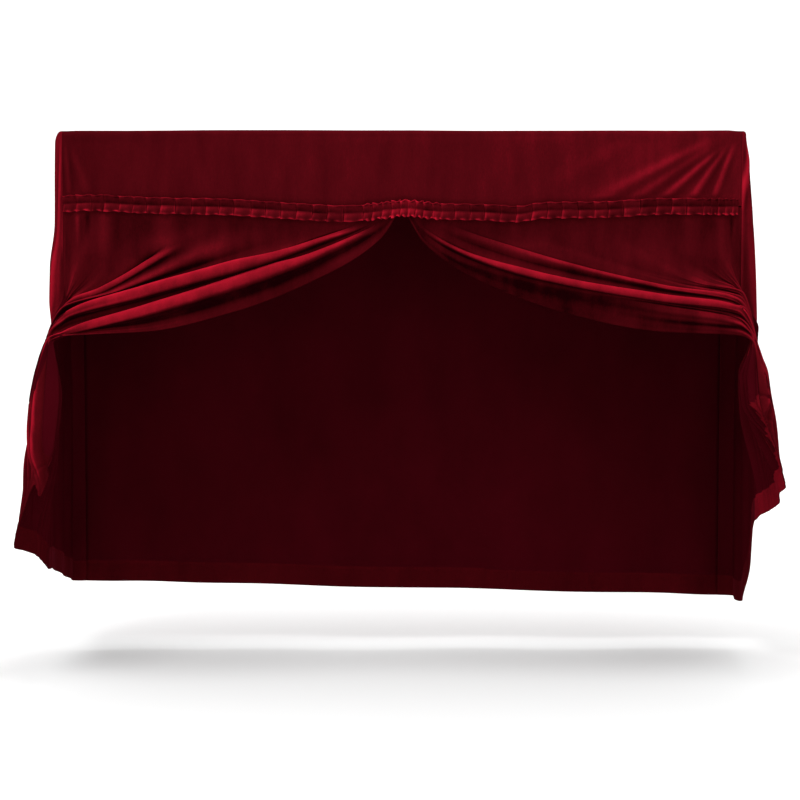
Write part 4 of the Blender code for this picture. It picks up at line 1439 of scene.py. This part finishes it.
def add_floor(colours):
    """A floor that sweeps up behind the cover in one curve."""
    sweep = bmesh.new()
    profile = [(FLOOR_FRONT, 0.0)]
    for k in range(SWEEP_PARTS + 1):
        angle = QUARTER_TURN * k / SWEEP_PARTS
        y = FLOOR_BACK + SWEEP_RADIUS * math.sin(angle)
        profile.append((y, SWEEP_RADIUS * (1 - math.cos(angle))))
    profile.append((FLOOR_BACK + SWEEP_RADIUS, SWEEP_TOP))
    line = [sweep.verts.new((-FLOOR_SIDE, y, FLOOR_Z + z)) for y, z in profile]
    edges = [sweep.edges.new(pair) for pair in zip(line, line[1:])]
    pulled = bmesh.ops.extrude_edge_only(sweep, edges=edges)
    moved = [item for item in pulled["geom"] if isinstance(item, bmesh.types.BMVert)]
    bmesh.ops.translate(sweep, verts=moved, vec=(2 * FLOOR_SIDE, 0, 0))
    bmesh.ops.recalc_face_normals(sweep, faces=sweep.faces[:])
    mesh = bpy.data.meshes.new("floor")
    sweep.to_mesh(mesh)
    sweep.free()
    mesh.shade_smooth()
    floor = bpy.data.objects.new("floor", mesh)
    bpy.context.scene.collection.objects.link(floor)
    material, shader = plain_material("pale floor", 1.0)
    shader.inputs["Base Color"].default_value = (*colours.floor, 1.0)
    mesh.materials.append(material)


def add_light(row):
    lamp = bpy.data.lights.new(row.name, "AREA")
    lamp.shape = "DISK"
    lamp.size = row.size
    lamp.energy = row.power
    light = bpy.data.objects.new(row.name, lamp)
    light.location = row.place
    way = Vector(row.aim) - Vector(row.place)
    light.rotation_euler = way.to_track_quat("-Z", "Y").to_euler()
    bpy.context.scene.collection.objects.link(light)


def add_camera(scene):
    lens = bpy.data.cameras.new("camera")
    lens.lens = CAMERA_LENS
    lens.sensor_width = CAMERA_SENSOR
    lens.clip_end = CAMERA_FAR
    camera = bpy.data.objects.new("camera", lens)
    camera.location = CAMERA_PLACE
    camera.rotation_euler = (CAMERA_PITCH, 0.0, 0.0)
    scene.collection.objects.link(camera)
    scene.camera = camera


def add_sky(scene):
    world = bpy.data.worlds.new("studio")
    world.use_nodes = True
    fill(world.node_tree.nodes["Background"], Color=(1.0, 1.0, 1.0, 1.0), Strength=SKY_STRENGTH)
    scene.world = world
    scene.view_settings.view_transform = "Standard"
    scene.view_settings.look = "None"


# ---------------------------------------------------------------------------
# Operators
# ---------------------------------------------------------------------------

BAND_CLOTH = 0.6             # thickness of the pressed pleats, as a share of the cloth's


def settings(context):
    return context.scene.cover_sizes, context.scene.cover_colours


class COVER_OT_top(bpy.types.Operator):
    """Lay the flat top panel on the lid."""

    bl_idname = "piano_cover.top"
    bl_label = "Top Panel"

    def execute(self, context):
        sizes, colours = settings(context)
        cloth_piece(
            "top_panel", top_grid(sizes), (1.50, 0.37),
            cover_materials(colours), sizes.cloth,
        )
        return {"FINISHED"}


class COVER_OT_valance(bpy.types.Operator):
    """Hang the plain valance along the front, with the creases that its corner pulls."""

    bl_idname = "piano_cover.valance"
    bl_label = "Front Valance"

    def execute(self, context):
        sizes, colours = settings(context)
        cloth_piece(
            "front_valance", valance_grid(sizes), (1.53, 0.20),
            cover_materials(colours), sizes.cloth,
        )
        return {"FINISHED"}


class COVER_OT_band(bpy.types.Operator):
    """Sew on the pleated band that hides the seam below the valance."""

    bl_idname = "piano_cover.band"
    bl_label = "Pleated Band"

    def execute(self, context):
        sizes, colours = settings(context)
        cloth_piece(
            "ruffle_band", band_grid(), (1.85, 0.040),
            cover_materials(colours, BAND_PILE), sizes.cloth * BAND_CLOTH,
        )
        return {"FINISHED"}


class COVER_OT_curtains(bpy.types.Operator):
    """Hang the two front curtains, drawn back to the ends and falling outside the arms."""

    bl_idname = "piano_cover.curtains"
    bl_label = "Front Curtains"

    def execute(self, context):
        sizes, colours = settings(context)
        for drop in DROPS:
            cloth_piece(
                "curtain_" + drop.word, curtain_grid(drop, sizes), (0.75, 0.92),
                cover_materials(colours, CURTAIN_PILE, drop.turned),
                sizes.cloth, sizes.hem,
            )
        return {"FINISHED"}


class COVER_OT_ends(bpy.types.Operator):
    """Hang the two end panels."""

    bl_idname = "piano_cover.ends"
    bl_label = "End Panels"

    def execute(self, context):
        sizes, colours = settings(context)
        for drop in DROPS:
            cloth_piece(
                "side_" + drop.word, side_grid(drop, sizes), (0.42, 1.08),
                cover_materials(colours), sizes.cloth, sizes.hem,
            )
        return {"FINISHED"}


class COVER_OT_back(bpy.types.Operator):
    """Hang the back panel."""

    bl_idname = "piano_cover.back"
    bl_label = "Back Panel"

    def execute(self, context):
        sizes, colours = settings(context)
        cloth_piece(
            "back_panel", back_grid(sizes), (1.52, 1.13),
            cover_materials(colours), sizes.cloth, sizes.hem,
        )
        return {"FINISHED"}


class COVER_OT_stage(bpy.types.Operator):
    """Set out the pale floor, the soft lights and the camera."""

    bl_idname = "piano_cover.stage"
    bl_label = "Stage"

    def execute(self, context):
        _, colours = settings(context)
        add_floor(colours)
        for row in LIGHTS:
            add_light(row)
        add_camera(context.scene)
        add_sky(context.scene)
        return {"FINISHED"}


class COVER_PT_panel(bpy.types.Panel):
    """Pieces of the piano cover and their sizes and colours."""

    bl_idname = "COVER_PT_panel"
    bl_label = "Piano Cover"
    bl_space_type = "VIEW_3D"
    bl_region_type = "UI"
    bl_category = "Piano Cover"

    def draw(self, context):
        layout = self.layout
        for group in settings(context):
            for name in group.bl_rna.properties.keys():
                if name not in ("rna_type", "name"):
                    layout.prop(group, name)
        for operator in OPERATORS:
            layout.operator(operator.bl_idname)


OPERATORS = (
    COVER_OT_top,
    COVER_OT_valance,
    COVER_OT_band,
    COVER_OT_curtains,
    COVER_OT_ends,
    COVER_OT_back,
    COVER_OT_stage,
)
CLASSES = (CoverSizes, CoverColours) + OPERATORS + (COVER_PT_panel,)


def register():
    for cls in CLASSES:
        bpy.utils.register_class(cls)
    bpy.types.Scene.cover_sizes = bpy.props.PointerProperty(type=CoverSizes)
    bpy.types.Scene.cover_colours = bpy.props.PointerProperty(type=CoverColours)


def unregister():
    del bpy.types.Scene.cover_colours
    del bpy.types.Scene.cover_sizes
    for cls in reversed(CLASSES):
        bpy.utils.unregister_class(cls)


def main():
    register()
    for operator in OPERATORS:
        family, name = operator.bl_idname.split(".")
        getattr(getattr(bpy.ops, family), name)()
    bpy.context.view_layer.update()


if __name__ == "__main__":
    main()
